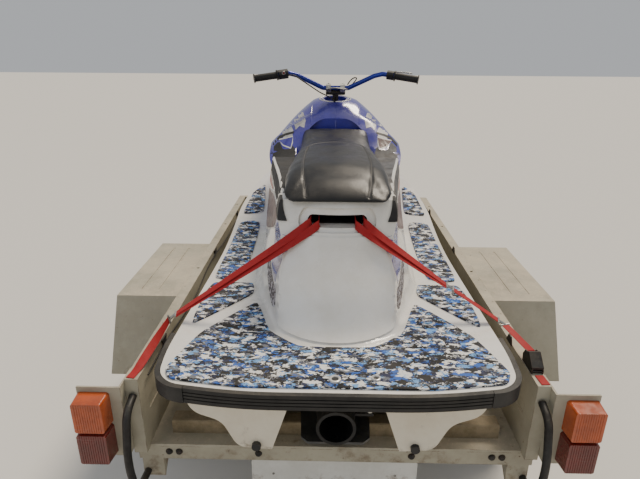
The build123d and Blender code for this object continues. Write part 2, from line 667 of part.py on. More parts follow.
def front_board():
    """Front wall of the box, folded forward along its top."""
    half = WALL_INNER + FLANGE
    ring = mirrored([(half, FRAME_TOP), (half, WALL_TOP), (NOTCH_HALF, WALL_TOP), (30, FLOOR_TOP + NOTCH_LOW)])
    plane = frame_plane(WALL_FRONT + WALL_THICK)
    board = extrude(plane * make_face(Polyline(*ring, close=True)), amount=WALL_THICK)
    for fold in both(block(NOTCH_HALF, half, WALL_FRONT, WALL_FRONT + 30, WALL_TOP - WALL_THICK, WALL_TOP)):
        board += fold
    for x in (-330, 330):
        board += block(x - 20, x + 20, WALL_FRONT + WALL_THICK - 1, WALL_FRONT + 24, FRAME_TOP, WALL_TOP - 1)
    return board


def chassis():
    """Two square tubes and the cross tubes between them, under the floor."""
    inside = RAIL_WALL
    frame = []
    for x in (-RAIL_X, RAIL_X):
        y0, half = FLOOR_REAR + SILL_DEEP, RAIL_WIDE / 2
        tube = block(x - half, x + half, y0, WALL_FRONT, RAIL_LOW, FRAME_TOP)
        frame.append(tube - block(x - half + inside, x + half - inside, y0 - 1, WALL_FRONT + 1, RAIL_LOW + inside,
                                  FRAME_TOP - inside))
    reach = RAIL_X - RAIL_WIDE / 2
    for y in CROSS_PLACES:
        tube = block(-reach, reach, y, y + 40, RAIL_LOW, FRAME_TOP)
        frame.append(tube - block(-reach - 1, reach + 1, y + inside, y + 40 - inside, RAIL_LOW + inside,
                                  FRAME_TOP - inside))
    return frame[0].fuse(*frame[1:])


def rear_sill():
    """Rear cross channel, open to the front, with corner gussets."""
    y0, y1 = FLOOR_REAR, FLOOR_REAR + SILL_DEEP
    low = FRAME_TOP - SILL_TALL
    half = WALL_INNER + FLANGE
    sill = block(-half, half, y0, y1, low, FRAME_TOP)
    sill -= block(-half - 1, half + 1, y0 + RAIL_WALL, y1 + 1, low + RAIL_WALL, FRAME_TOP - RAIL_WALL)
    gusset = side_plate([(y0, low), (y1, low), (y1, low - 22), (y0, low - GUSSET_TALL)], 520, 520 + 2 * RAIL_WALL)
    gusset += block(520, 585, y0, y0 + RAIL_WALL, low - GUSSET_TALL, low)
    return sill + gusset + gusset.mirror(Plane.YZ)


def drawbar_leg(wall=0):
    """The right tube of the drawbar as a full bar, or its hollow."""
    w, past = BAR_SIZE / 2 - wall, 1 if wall else 0
    y0, y1 = BAR_REAR_Y - past, BAR_FRONT_Y + past
    ring = [(BAR_REAR_X - w, y0), (BAR_REAR_X + w, y0), (BAR_FRONT_X + w, y1), (BAR_FRONT_X - w, y1)]
    return level_plate(ring, BAR_LOW + wall, RAIL_LOW - wall)


def drawbar():
    """Two converging tubes with a cross tie, joined under the coupler's plate."""
    hollows = both(drawbar_leg(RAIL_WALL))
    legs = both(drawbar_leg() - hollows[0])
    half = BAR_FRONT_X + BAR_SIZE / 2
    plate = block(-half, half, BAR_FRONT_Y - 160, BAR_FRONT_Y, RAIL_LOW, RAIL_LOW + 8)
    tie = block(-130, 130, STAND_Y + TIE_AHEAD, STAND_Y + TIE_AHEAD + 40, BAR_LOW + 5, RAIL_LOW - 5)
    for hollow in hollows:
        tie -= hollow
    return legs[0] + legs[1] + plate + tie


def coupler():
    """Ball coupler with its domed head."""
    z = RAIL_LOW + 8
    ball_y = LENGTH - BALL_BACK
    body = level_plate(mirrored([(50, LENGTH - 400), (50, LENGTH - 230), (HEAD_RADIUS - 6, ball_y)]), z, z + 40)
    body += level_plate(mirrored([(30, LENGTH - 400), (30, LENGTH - 230), (20, ball_y)]), z, z + 46)
    profile = [(0, 0), (HEAD_RADIUS, 0), (HEAD_RADIUS, 26), (HEAD_RADIUS - 8, 40), (HEAD_RADIUS - 22, 48), (0, 50)]
    body += Pos(0, ball_y, z) * revolve(Plane.XZ * make_face(Polyline(*profile, close=True)), Axis.Z)
    return body - rod((0, ball_y, z - 20), (0, ball_y, z + 30), BALL_RADIUS + 0.3)


def coupler_handle():
    """Lever on top of the coupler, with its hand bar."""
    z, y = RAIL_LOW + 8 + 46, LENGTH - 240
    lever = side_plate([(y, z), (y + 130, z), (y + 150, z + 14), (y + 30, z + 38), (y, z + 30)], -12, 12)
    return lever + rod((-40, y + 16, z + 24), (40, y + 16, z + 24), 8)


def front_stand():
    """Folding prop leg: a tube, a thinner inner tube and a foot plate."""
    hinge, foot = (0, STAND_Y, STAND_Z), (0, STAND_Y + STAND_LEAN, 6)
    middle = tuple(a + (b - a) * 0.55 for a, b in zip(hinge, foot))
    leg = rod(hinge, middle, STAND_TUBE / 2) + rod(middle, foot, STAND_TUBE / 2 - 4)
    leg += Pos(0, foot[1], 4) * extrude(RectangleRounded(120, 120, 18), amount=4, both=True)
    leg += rod((-35, STAND_Y, STAND_Z), (35, STAND_Y, STAND_Z), 16)
    return leg - rod((-50, STAND_Y, STAND_Z), (50, STAND_Y, STAND_Z), 8 + FIT)


def stand_bracket():
    """Two ears under the tie plate, and the hinge pin of the stand."""
    body = rod((-50, STAND_Y, STAND_Z), (50, STAND_Y, STAND_Z), 8)
    for x in (-50, 42):
        body += block(x, x + 8, STAND_Y - 16, STAND_Y + TIE_AHEAD, STAND_Z - 16, RAIL_LOW - 5)
    return body


def axle():
    """Square beam with a spindle at each end."""
    z0 = TYRE_RADIUS - AXLE_SIZE / 2
    beam = block(-AXLE_HALF, AXLE_HALF, AXLE_Y - 25, AXLE_Y + 25, z0, z0 + AXLE_SIZE)
    reach = TRACK_HALF + 30
    return beam + rod((-reach, AXLE_Y, TYRE_RADIUS), (reach, AXLE_Y, TYRE_RADIUS), SPINDLE_RADIUS)


def leaf_springs():
    """Right spring: stacked leaves, eyes on their hangers, clamp plates and U-bolts."""
    seat_z = TYRE_RADIUS + AXLE_SIZE / 2
    top = seat_z + LEAF * len(LEAVES)
    bend = (SPRING_HALF ** 2 + SPRING_RISE ** 2) / (2 * SPRING_RISE)
    plane = Plane((RAIL_X - SPRING_WIDE / 2, AXLE_Y, top + bend), x_dir=(0, 1, 0), z_dir=(1, 0, 0))
    pack = None
    for i, half in enumerate(LEAVES):
        ring = plane * (Circle(bend + LEAF * (i + 1)) - Circle(bend + LEAF * i))
        leaf = extrude(ring, amount=SPRING_WIDE) & block(0, 900, AXLE_Y - half, AXLE_Y + half, 0, 900)
        pack = pack + leaf if pack else leaf
    for y in (AXLE_Y - SPRING_HALF, AXLE_Y + SPRING_HALF):
        z = top + SPRING_RISE + 6
        pack += rod((RAIL_X - 25, y, z), (RAIL_X + 25, y, z), 15) + rod((RAIL_X - 38, y, z), (RAIL_X + 38, y, z), 7)
        for x in (RAIL_X - 34, RAIL_X + 28):
            pack += block(x, x + 6, y - 20, y + 20, z - 18, RAIL_LOW)
        pack += block(RAIL_X - 34, RAIL_X + 34, y - 20, y + 20, RAIL_LOW - 6, RAIL_LOW)
    spread = AXLE_SIZE / 2 + 8
    low = TYRE_RADIUS - AXLE_SIZE / 2
    pack += block(RAIL_X - 40, RAIL_X + 40, AXLE_Y - 42, AXLE_Y + 42, top, top + 8)
    pack += block(RAIL_X - 40, RAIL_X + 40, AXLE_Y - 42, AXLE_Y + 42, low - 8, low)
    for x in (RAIL_X - 32, RAIL_X + 32):
        for y in (AXLE_Y - spread, AXLE_Y + spread):
            pack += rod((x, y, low - 16), (x, y, top + 12), 5)
    return pack


def studs(grow=0.0, x0=-22, x1=8):
    """Wheel studs, or their holes, drawn about the X axis."""
    pins = [rod((x0, 0, STUD_CIRCLE), (x1, 0, STUD_CIRCLE), STUD_RADIUS + grow)]
    return [Rot(90 * i + 45, 0, 0) * pins[0] for i in range(4)]


def hub():
    """Right hub with its flange, studs, nuts and dust cap."""
    bore = SPINDLE_RADIUS + FIT
    profile = [(-HUB_REACH, bore), (-HUB_REACH, 30), (-60, HUB_RADIUS), (-22, HUB_RADIUS), (-22, 70), (-12, 70),
               (-12, HUB_RADIUS), (20, HUB_RADIUS), (24, 28), (36, 27), (40, 21), (40, 0), (33, 0), (33, bore)]
    body = revolve(make_face(Polyline(*profile, close=True)), Axis.X)
    nut = extrude(Plane((-6 + SEAM, 0, STUD_CIRCLE), z_dir=(1, 0, 0)) * RegularPolygon(11, 6), amount=11)
    for i, stud in enumerate(studs()):
        body += stud + Rot(90 * i + 45, 0, 0) * nut
    return wheel_axis_place() * body


def wheel_axis_place():
    """Moves a wheel drawn about the X axis to its place on the right."""
    return Pos(TRACK_HALF, AXLE_Y, TYRE_RADIUS)


def rim():
    """Pressed steel rim with its slotted disc."""
    w = TYRE_WIDE / 2 - 8
    section = [(-w, RIM_RADIUS), (-w, RIM_RADIUS - 6), (-w + 26, RIM_RADIUS - 18), (w - 26, RIM_RADIUS - 18),
               (w, RIM_RADIUS - 6), (w, RIM_RADIUS), (w - 18, RIM_RADIUS), (w - 30, RIM_RADIUS - 13),
               (-w + 30, RIM_RADIUS - 13), (-w + 18, RIM_RADIUS)]
    barrel = revolve(make_face(Polyline(*section, close=True)), Axis.X)
    wall = [(-12 + SEAM, HUB_RADIUS + SEAM), (-12 + SEAM, 84), (4, 96), (4, 126), (-8, RIM_RADIUS - 16),
            (-2, RIM_RADIUS - 16), (10, 126), (10, 92), (-6, 78), (-6, HUB_RADIUS + SEAM)]
    disc = revolve(make_face(Polyline(*wall, close=True)), Axis.X)
    for i in range(8):
        hole = Plane((-20, 0, 0), z_dir=(1, 0, 0)) * Rot(0, 0, 45 * i) * Pos(111, 0) * SlotOverall(30, 16, rotation=90)
        disc -= extrude(hole, amount=40)
    for stud in studs(FIT + SEAM):
        disc -= stud
    return wheel_axis_place() * (barrel + disc)


def tyre():
    """Road tyre."""
    w = TYRE_WIDE / 2
    r = TYRE_RADIUS
    section = [(-w + 18, RIM_RADIUS + SEAM), (w - 18, RIM_RADIUS + SEAM), (w, RIM_RADIUS + 45),
               (w - 2, r - 40), (w - 16, r - 6), (w - 34, r), (-w + 34, r), (-w + 16, r - 6), (-w + 2, r - 40),
               (-w, RIM_RADIUS + 45)]
    return wheel_axis_place() * revolve(make_face(Polyline(*section, close=True)), Axis.X)


def fender():
    """Right box fender in sheet steel, with sloping ends, pressed grooves and a lip down its outer side."""
    x0 = FENDER_IN
    outer = [(FENDER_REAR - FENDER_FLARE, FENDER_LOW), (FENDER_REAR, FENDER_TOP), (FENDER_FRONT, FENDER_TOP),
             (FENDER_FRONT + FENDER_FLARE, FENDER_LOW)]
    inner = [(FENDER_REAR - FENDER_FLARE + SHEET + 1, FENDER_LOW - 1), (FENDER_REAR + SHEET, FENDER_TOP - SHEET),
             (FENDER_FRONT - SHEET, FENDER_TOP - SHEET), (FENDER_FRONT + FENDER_FLARE - SHEET - 1, FENDER_LOW - 1)]
    body = side_plate(outer, x0, FENDER_OUT) - side_plate(inner, x0 - 1, FENDER_OUT + 1)
    lip = side_plate(outer, FENDER_OUT - SHEET, FENDER_OUT)
    lip -= block(FENDER_OUT - 10, FENDER_OUT + 10, 0, 3000, 0, FENDER_TOP - FENDER_LIP)
    for share in (0.4, 0.68):
        x = x0 + share * (FENDER_OUT - x0)
        groove = Pos(x, (FENDER_REAR + FENDER_FRONT) / 2, FENDER_TOP) * SlotOverall(
            FENDER_FRONT - FENDER_REAR - 120, 9, rotation=90)
        body -= extrude(groove, amount=-1.4)
    return body + lip


def lamp_bracket():
    """Right lamp plate, out from the rear corner post."""
    low, high = FRAME_TOP + 17, WALL_TOP - 5
    plate = block(FENDER_IN, TRACK_HALF, 100, 106, low, high)
    return plate + block(FENDER_IN, FENDER_IN + 6, 106, 190, low, high)


def lamp(low, high):
    """Right lamp between two heights above the frame, tapered to the rear."""
    outline = RectangleRounded(90, high - low, 10)
    place = frame_plane(100 - SEAM) * Pos(TRACK_HALF - 45, FRAME_TOP + (low + high) / 2)
    return extrude(place * outline, amount=50, taper=5)


def lamp_guard():
    """Right bowed tube guard beside the rear post."""
    x = WALL_INNER + 17
    points = [(x, WALL_REAR - 4, WALL_TOP - 51), (x, 70, WALL_TOP - 69), (x, 34, WALL_TOP - 205),
              (x, 62, WALL_TOP - 343), (x, 155, WALL_TOP - 351)]
    path = soft_line(points)
    return sweep(Plane(path @ 0, z_dir=path % 0) * Circle(11), path=path)


def number_plate():
    """Blank plate with a rolled edge, on two hangers under the sill."""
    low = FRAME_TOP - SILL_TALL
    outline = RectangleRounded(520, 112, 9)
    place = frame_plane(198) * Pos(0, low - 93)
    body = extrude(place * outline, amount=2) + extrude(place * (outline - RectangleRounded(512, 104, 7)), amount=3)
    for x in (-200, 184):
        body += block(x, x + 16, 198, 202, low - 112, low)
    return body


def ribbon(points, across):
    """Flat webbing along straight runs, with the direction that it is wide in at each point."""
    spans = []
    for i in range(len(points) - 1):
        run = (points[i + 1] - points[i]).normalized()
        ends = []
        for point, wide_way in zip(points[i:i + 2], across[i:i + 2]):
            u = (wide_way - run * wide_way.dot(run)).normalized()
            n = run.cross(u)
            corners = [point + u * (a * STRAP / 2) + n * (b * WEB / 2) for a, b in ((1, 1), (-1, 1), (-1, -1), (1, -1))]
            ends.append(make_face(Polyline(*corners, close=True)))
        spans.append(loft(ends, ruled=True))
    return spans[0].fuse(*spans[1:]) if len(spans) > 1 else spans[0]


# Webbing leaves the hand-hold beside the end of its slot and lies on the top flange of the wall.
SLOT_SIDE = SLOT_HALF - 6.8
LIE = WALL_TOP + WEB / 2 + SEAM
RATCHET_X, RATCHET_Y = WALL_INNER + FLANGE / 2, 238
SPOOL, SPOOL_Z = 19, WALL_TOP + 24
UP, OUT = (0, 0, 1), (0, 0.55, 0.83)
# Runs of webbing, one list for each: half width, station, height and the wide direction at each point
FROM_SLOT = [(SLOT_SIDE, 530, SLOT_Z + LIFT, UP), (SLOT_SIDE, 478, SLOT_Z + LIFT, UP),
             (SLOT_SIDE - 1, 441, SLOT_Z + LIFT, OUT)]
STRAP_RUNS = {
    "left": [
        FROM_SLOT + [(508, 372, 822 + LIFT, (0, 1, 0.2))],
        [(533, 364, 801 + LIFT, (0, 0.2, 1)), (562, 196, LIE + 14, (1, 0.2, 0.4)), (572, 170, LIE, (1, 0.3, 0)),
         (578, 136, LIE, (1, 0.3, 0))],
    ],
    "right": [
        FROM_SLOT + [(348, 416, 915 + LIFT, (0, 1, 0.2))],
        [(374, 412, 899 + LIFT, (0, 1, 0.2)), (512, 377, 813 + LIFT, (0, 1, 0.2))],
        [(536, 366, 799 + LIFT, (1, 0.3, 0)), (RATCHET_X, RATCHET_Y + 12, SPOOL_Z + SPOOL - 6, (1, 0, 0))],
        [(RATCHET_X + 2, 178, LIE, (1, 0.2, 0)), (RATCHET_X + 5, 136, LIE, (1, 0.2, 0))],
    ],
}


def strap_runs(name):
    """Points and wide directions of each run of webbing on one side."""
    side = {"left": -1, "right": 1}[name]
    for run in STRAP_RUNS[name]:
        yield ([Vector(side * x, y, z) for x, y, z, _ in run],
               [Vector(side * w[0], w[1], w[2]) for *_, w in run])


def straps():
    """Webbing from the hand-hold to the rear corners of the trailer, the right one with its spare roll."""
    left = [ribbon(*run) for run in strap_runs("left")]
    right = [ribbon(*run) for run in strap_runs("right")]
    roll = rod((RATCHET_X - STRAP / 2, RATCHET_Y, SPOOL_Z), (RATCHET_X + STRAP / 2, RATCHET_Y, SPOOL_Z), SPOOL)
    bore = rod((RATCHET_X - STRAP, RATCHET_Y, SPOOL_Z), (RATCHET_X + STRAP, RATCHET_Y, SPOOL_Z), 6 + SEAM)
    right[2] = right[2] + roll - bore
    return Compound(children=left), Compound(children=right)


def hook(before, after):
    """Joining hook between the end of one run of webbing and the start of the next."""
    centres, bars = [], []
    for points, across, end, way in ((*before, -1, 1), (*after, 0, -1)):
        run = (points[-1] - points[-2] if end else points[1] - points[0]).normalized()
        u = (across[end] - run * across[end].dot(run)).normalized()
        centre = points[end] + run * (way * (3.5 + SEAM))
        centres.append(centre)
        bars.append(rod(centre - u * 16, centre + u * 16, 3.5))
    return bars[0] + bars[1] + rod(*centres, 4.5)


def strap_hooks():
    """All joining hooks: one on the left, two on the right."""
    left, right = list(strap_runs("left")), list(strap_runs("right"))
    return Compound(children=[hook(left[0], left[1]), hook(right[0], right[1]), hook(right[1], right[2])])


def ratchet():
    """Ratchet buckle on the right wall: two frame plates, spindle, cross bar and handle."""
    x, y, z = RATCHET_X, RATCHET_Y, WALL_TOP + SEAM
    side = [(y + 20, z), (y + 24, z + 22), (y + 10, z + 43), (y - 12, z + 44), (y - 52, z + 12), (y - 52, z)]
    body = rod((x - 17, y, SPOOL_Z), (x + 17, y, SPOOL_Z), 6)
    for at in (x - 17, x + 14):
        body += side_plate(side, at, at + 3)
    body += rod((x - 17, y - 46, z + 5), (x + 17, y - 46, z + 5), 4)
    handle = [(y - 2, z + 45), (y - 14, z + 50), (y - 50, z + 20), (y - 50, z + 14), (y - 12, z + 44)]
    return body + side_plate(handle, x - 17, x + 17)


# Housings on the bar: start and end from the bar's tip, width
SWITCHES = (114, 160, 42)
THROTTLE = (114, 146, 40)


def craft_pieces():
    """Every node of the watercraft, at the height that its tables give."""
    stern, bow = bumpers()
    return {
        "hull": hull(), "deck": deck(), "stern_bumper": stern, "bow_bumper": bow, "bow_eye": bow_eye(),
        "traction_mats": traction_mats(), "seat": seat(), "seat_corner_pads": seat_corner_pads(),
        "cowl": cowl(), "hood": hood(), "hood_hinge": hood_hinge(), "storage_bin": storage_bin(),
        "engine": engine(), "impeller": impeller(), "pump_housing": pump_housing(),
        "steer_nozzle": steer_nozzle(), "steer_rod": steer_rod(), "ride_plate": ride_plate(),
        "intake_grate": intake_grate(), "drain_plugs": drain_plugs(), "deck_fittings": deck_fittings(),
        "steering_column": steering_column(), "handlebar": handlebar(), "bar_clamps": bar_clamps(),
        "grips": grips(), "switch_housing": bar_pod(-1, *SWITCHES), "throttle_housing": bar_pod(1, *THROTTLE),
        "throttle_lever": throttle_lever(), "control_cables": control_cables(),
    }


def trailer_pieces():
    """Every node of the trailer, with the straps."""
    left_strap, right_strap = straps()
    out = {
        "cross_timbers": timbers(), "box_floor": box_floor(), "front_board": front_board(),
        "chassis": chassis(), "rear_sill": rear_sill(), "drawbar": drawbar(), "coupler": coupler(),
        "coupler_handle": coupler_handle(), "front_stand": front_stand(), "stand_bracket": stand_bracket(),
        "axle": axle(), "leaf_springs": Compound(children=both(leaf_springs())),
        "lamp_brackets": Compound(children=both(lamp_bracket())),
        "lamp_amber": Compound(children=both(lamp(134, 237))),
        "lamp_red": Compound(children=both(lamp(27, 133))),
        "lamp_guards": Compound(children=both(lamp_guard())),
        "number_plate": number_plate(), "strap_left": left_strap, "strap_right": right_strap,
        "strap_hooks": strap_hooks(), "ratchet": ratchet(),
    }
    for name, make in (("side_wall", side_wall), ("fender", fender), ("hub", hub), ("rim", rim), ("tyre", tyre)):
        out[name + "_right"], out[name + "_left"] = both(make())
    return out


def main():
    """Writes each node as a STEP file."""
    os.makedirs("parts", exist_ok=True)
    for pieces, lift in ((craft_pieces(), LIFT), (trailer_pieces(), 0)):
        for name, shape in pieces.items():
            export_step(Pos(0, -LENGTH / 2, lift) * shape, "parts/" + name + ".step")


main()
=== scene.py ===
"""Looks of a sit-down watercraft strapped down on its box trailer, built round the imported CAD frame.

Lengths are metres in the row frame: X to the right of someone looking forward, Y forward to the bow, Z up
from the ground. Tables that follow the drawing are in millimetres, with stations counted from the stern.
"""

from __future__ import annotations

import json
import logging
import math
from dataclasses import dataclass
from enum import Enum
from typing import Iterable, Sequence

import bmesh
import bpy
import numpy as np
from mathutils import Matrix, Vector, geometry
from mathutils.bvhtree import BVHTree

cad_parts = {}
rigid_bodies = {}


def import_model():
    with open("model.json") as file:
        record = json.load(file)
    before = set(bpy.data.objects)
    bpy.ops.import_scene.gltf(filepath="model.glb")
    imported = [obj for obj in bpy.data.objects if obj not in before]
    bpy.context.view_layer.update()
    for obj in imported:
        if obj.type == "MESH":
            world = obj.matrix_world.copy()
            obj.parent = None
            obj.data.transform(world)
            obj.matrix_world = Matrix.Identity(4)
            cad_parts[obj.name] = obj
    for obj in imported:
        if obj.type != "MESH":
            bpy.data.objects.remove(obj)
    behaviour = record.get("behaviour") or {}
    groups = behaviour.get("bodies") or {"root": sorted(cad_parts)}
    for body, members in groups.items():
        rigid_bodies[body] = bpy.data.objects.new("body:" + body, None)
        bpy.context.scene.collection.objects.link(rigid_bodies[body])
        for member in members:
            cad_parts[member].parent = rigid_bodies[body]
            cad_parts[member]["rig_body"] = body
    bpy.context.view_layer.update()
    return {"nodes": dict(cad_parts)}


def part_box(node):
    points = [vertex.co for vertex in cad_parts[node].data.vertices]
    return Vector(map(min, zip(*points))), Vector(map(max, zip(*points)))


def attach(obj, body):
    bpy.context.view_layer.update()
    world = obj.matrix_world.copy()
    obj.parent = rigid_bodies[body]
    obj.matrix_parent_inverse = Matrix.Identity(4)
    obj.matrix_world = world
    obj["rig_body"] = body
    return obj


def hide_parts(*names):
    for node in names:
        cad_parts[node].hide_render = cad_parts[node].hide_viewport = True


LOG = logging.getLogger("watercraft")
HALF_LENGTH = 1.65
MM = 0.001
SHARP_ANGLE = 34.0
ROUND_ANGLE = 40.0
MERGE_DISTANCE = 3e-6
SIDES = (("left", -1), ("right", 1))

Obj = bpy.types.Object
Socket = bpy.types.NodeSocket
Inputs = bpy.types.NodeOutputs
Spot = tuple[float, float]
Outline = tuple[Spot, ...]
Point = tuple[float, float, float]


def place(x: float, station: float, z: float) -> Vector:
    """The row frame point of a drawing point in millimetres."""
    return Vector((x * MM, station * MM - HALF_LENGTH, z * MM))


def tint(code: str) -> tuple[float, float, float, float]:
    """A linear shader colour with its alpha, from a screen colour of six hexadecimal digits."""
    parts = [int(code[i:i + 2], 16) / 255 for i in (0, 2, 4)]
    linear = [c / 12.92 if c <= 0.04045 else ((c + 0.055) / 1.055) ** 2.4 for c in parts]
    return linear[0], linear[1], linear[2], 1.0


class Graph:
    """A node tree with short calls for its nodes and links."""

    def __init__(self, tree: bpy.types.NodeTree) -> None:
        """Starts on a tree."""
        self.tree = tree

    def add(self, kind: str, ins: dict | None = None, **settings: object) -> bpy.types.Node:
        """Places a node.

        Args:
            kind: Blender's name of the node type.
            ins: Input name or number to a value or to the socket that feeds it.
            settings: Node properties.

        Returns:
            The node.
        """
        node = self.tree.nodes.new(kind)
        for key, value in settings.items():
            setattr(node, key, value)
        self.feed(node, ins or {})
        return node

    def feed(self, node: bpy.types.Node, ins: dict) -> None:
        """Gives a node's inputs their values, or links them to the sockets that feed them."""
        for key, value in ins.items():
            if isinstance(value, Socket):
                self.tree.links.new(value, node.inputs[key])
            else:
                node.inputs[key].default_value = value

    def math(self, operation: str, a: object, b: object = 0.0, clamp: bool = False) -> Socket:
        """The result of a Math node."""
        return self.add("ShaderNodeMath", {0: a, 1: b}, operation=operation, use_clamp=clamp).outputs[0]

    def mix(self, share: object, a: object, b: object, blend: str = "MIX") -> Socket:
        """A colour between two colours."""
        node = self.add("ShaderNodeMix", {0: share, 6: a, 7: b}, data_type="RGBA", blend_type=blend)
        return node.outputs[2]

    def between(self, share: object, a: object, b: object) -> Socket:
        """A number between two numbers."""
        return self.add("ShaderNodeMix", {0: share, 2: a, 3: b}, data_type="FLOAT").outputs[0]

    def span(self, value: object, low: float, high: float, to_low: float = 0.0, to_high: float = 1.0) -> Socket:
        """A number moved smoothly from one range to another."""
        node = self.add("ShaderNodeMapRange", {0: value, 1: low, 2: high, 3: to_low, 4: to_high},
                        interpolation_type="SMOOTHSTEP")
        return node.outputs[0]

    def noise(self, vector: object, scale: object, detail: float = 3.0, rough: float = 0.5) -> Socket:
        """Fractal noise about one half."""
        return self.add("ShaderNodeTexNoise", {"Vector": vector, "Scale": scale, "Detail": detail,
                                               "Roughness": rough}).outputs[0]

    def stretched(self, vector: object, by: Point, shift: Point = (0, 0, 0)) -> Socket:
        """Coordinates scaled along each axis and moved."""
        node = self.add("ShaderNodeMapping", {"Vector": vector, "Location": shift, "Scale": by})
        return node.outputs[0]

    def object_place(self) -> Socket:
        """Object coordinates, which are the row frame's."""
        return self.add("ShaderNodeTexCoord").outputs["Object"]

    def up_share(self) -> Socket:
        """How far the surface faces up, from minus one to one."""
        normal = self.add("ShaderNodeTexCoord").outputs["Normal"]
        return self.add("ShaderNodeSeparateXYZ", {0: normal}).outputs[2]


class Effect(Enum):
    """Shared shader groups, each built once."""

    MOTTLE = "uneven_colour"
    DUST = "settled_dust"
    WEAR = "edge_wear"
    GRAIN = "vinyl_grain"
    SCRATCH = "fine_scratches"
    FLECKS = "stretched_flecks"
    WEAVE = "webbing_weave"
    SPATTER = "mud_spatter"

    def group(self) -> bpy.types.NodeTree:
        """The node group, built at its first use."""
        found = bpy.data.node_groups.get(self.value)
        if found:
            return found
        tree = bpy.data.node_groups.new(self.value, "ShaderNodeTree")
        build, ins, outs = EFFECTS[self]
        for name, value in ins.items():
            kind = "NodeSocketVector" if value is None else "NodeSocketFloat"
            socket = tree.interface.new_socket(name, in_out="INPUT", socket_type=kind)
            if value is not None:
                socket.default_value = value
        for name in outs:
            tree.interface.new_socket(name, in_out="OUTPUT", socket_type="NodeSocketFloat")
        g = Graph(tree)
        source = g.add("NodeGroupInput")
        g.add("NodeGroupOutput", dict(zip(outs, build(g, source.outputs))))
        return tree

    def use(self, g: Graph, **values: object) -> bpy.types.Node:
        """Places the group in a material's tree, with a value or a socket for each input named."""
        return g.add("ShaderNodeGroup", values, node_tree=self.group())


def build_mottle(g: Graph, ins: Inputs) -> list[Socket]:
    """Soft clouds of two sizes."""
    broad = g.noise(ins["Vector"], ins["Scale"], 4.0, 0.6)
    fine = g.noise(ins["Vector"], g.math("MULTIPLY", ins["Scale"], 7.3), 3.0, 0.6)
    both = g.math("ADD", g.math("MULTIPLY", broad, 0.7), g.math("MULTIPLY", fine, 0.3))
    return [g.span(both, 0.36, 0.64)]


def build_dust(g: Graph, ins: Inputs) -> list[Socket]:
    """Dust that lies on faces that look up, in clouds and specks."""
    up = g.span(g.up_share(), 0.2, 1.0)
    clouds = g.span(g.noise(ins["Vector"], ins["Scale"], 6.0, 0.7), 0.35, 0.75)
    specks = g.span(g.noise(ins["Vector"], g.math("MULTIPLY", ins["Scale"], 30.0), 2.0, 0.5), 0.55, 0.75)
    lies = g.math("MULTIPLY", up, g.math("ADD", clouds, g.math("MULTIPLY", specks, 0.5)))
    return [g.math("MULTIPLY", lies, ins["Amount"], clamp=True)]


def build_wear(g: Graph, ins: Inputs) -> list[Socket]:
    """Paint rubbed off along edges, and a few chips."""
    rounded = g.add("ShaderNodeBevel", {"Radius": ins["Radius"]}, samples=4).outputs[0]
    flat = g.add("ShaderNodeNewGeometry").outputs["Normal"]
    turn = g.add("ShaderNodeVectorMath", {0: rounded, 1: flat}, operation="DOT_PRODUCT").outputs["Value"]
    edge = g.span(turn, 0.995, 0.93)
    patches = g.noise(ins["Vector"], ins["Scale"], 5.0, 0.7)
    rubbed = g.math("MULTIPLY", edge, g.span(patches, 0.42, 0.6))
    chips = g.span(g.noise(ins["Vector"], g.math("MULTIPLY", ins["Scale"], 3.1), 4.0, 0.65), 0.69, 0.72)
    return [g.math("MULTIPLY", g.math("ADD", rubbed, chips, clamp=True), ins["Amount"], clamp=True)]


def build_grain(g: Graph, ins: Inputs) -> list[Socket]:
    """Pebbled skin with fine creases."""
    cells = g.add("ShaderNodeTexVoronoi", {"Vector": ins["Vector"], "Scale": ins["Scale"]},
                  feature="SMOOTH_F1").outputs["Distance"]
    creases = g.noise(ins["Vector"], g.math("MULTIPLY", ins["Scale"], 0.23), 5.0, 0.6)
    pebble = g.math("SUBTRACT", 1.0, g.span(cells, 0.05, 0.6))
    return [g.math("ADD", g.math("MULTIPLY", pebble, 0.7), g.math("MULTIPLY", creases, 0.6))]


def build_scratch(g: Graph, ins: Inputs) -> list[Socket]:
    """Thin scratches in two directions."""
    lines = []
    for by, turn in (((1.0, 14.0, 3.0), 0.5), ((9.0, 1.0, 11.0), -0.8)):
        turned = g.add("ShaderNodeMapping", {"Vector": ins["Vector"], "Rotation": (0.3, turn, turn), "Scale": by})
        level = g.noise(turned.outputs[0], ins["Scale"], 2.0, 0.4)
        lines.append(g.span(g.math("ABSOLUTE", g.math("SUBTRACT", level, 0.5)), 0.012, 0.0))
    patches = g.span(g.noise(ins["Vector"], g.math("MULTIPLY", ins["Scale"], 0.4), 3.0), 0.5, 0.65)
    both = g.math("ADD", lines[0], lines[1], clamp=True)
    return [g.math("MULTIPLY", g.math("MULTIPLY", both, patches), ins["Amount"], clamp=True)]


def build_flecks(g: Graph, ins: Inputs) -> list[Socket]:
    """Ragged flecks wider than they are long, as a hard mask."""
    bent = g.add("ShaderNodeTexNoise", {"Vector": ins["Vector"], "Scale": g.math("MULTIPLY", ins["Scale"], 1.7),
                                        "Detail": 3.0}).outputs[1]
    push = g.add("ShaderNodeVectorMath", {0: bent, "Scale": 0.02}, operation="SCALE").outputs[0]
    moved = g.add("ShaderNodeVectorMath", {0: ins["Vector"], 1: push}).outputs[0]
    level = g.noise(moved, ins["Scale"], 3.0, 0.62)
    edge = g.math("SUBTRACT", level, ins["Level"])
    return [g.span(edge, -0.006, 0.006)]


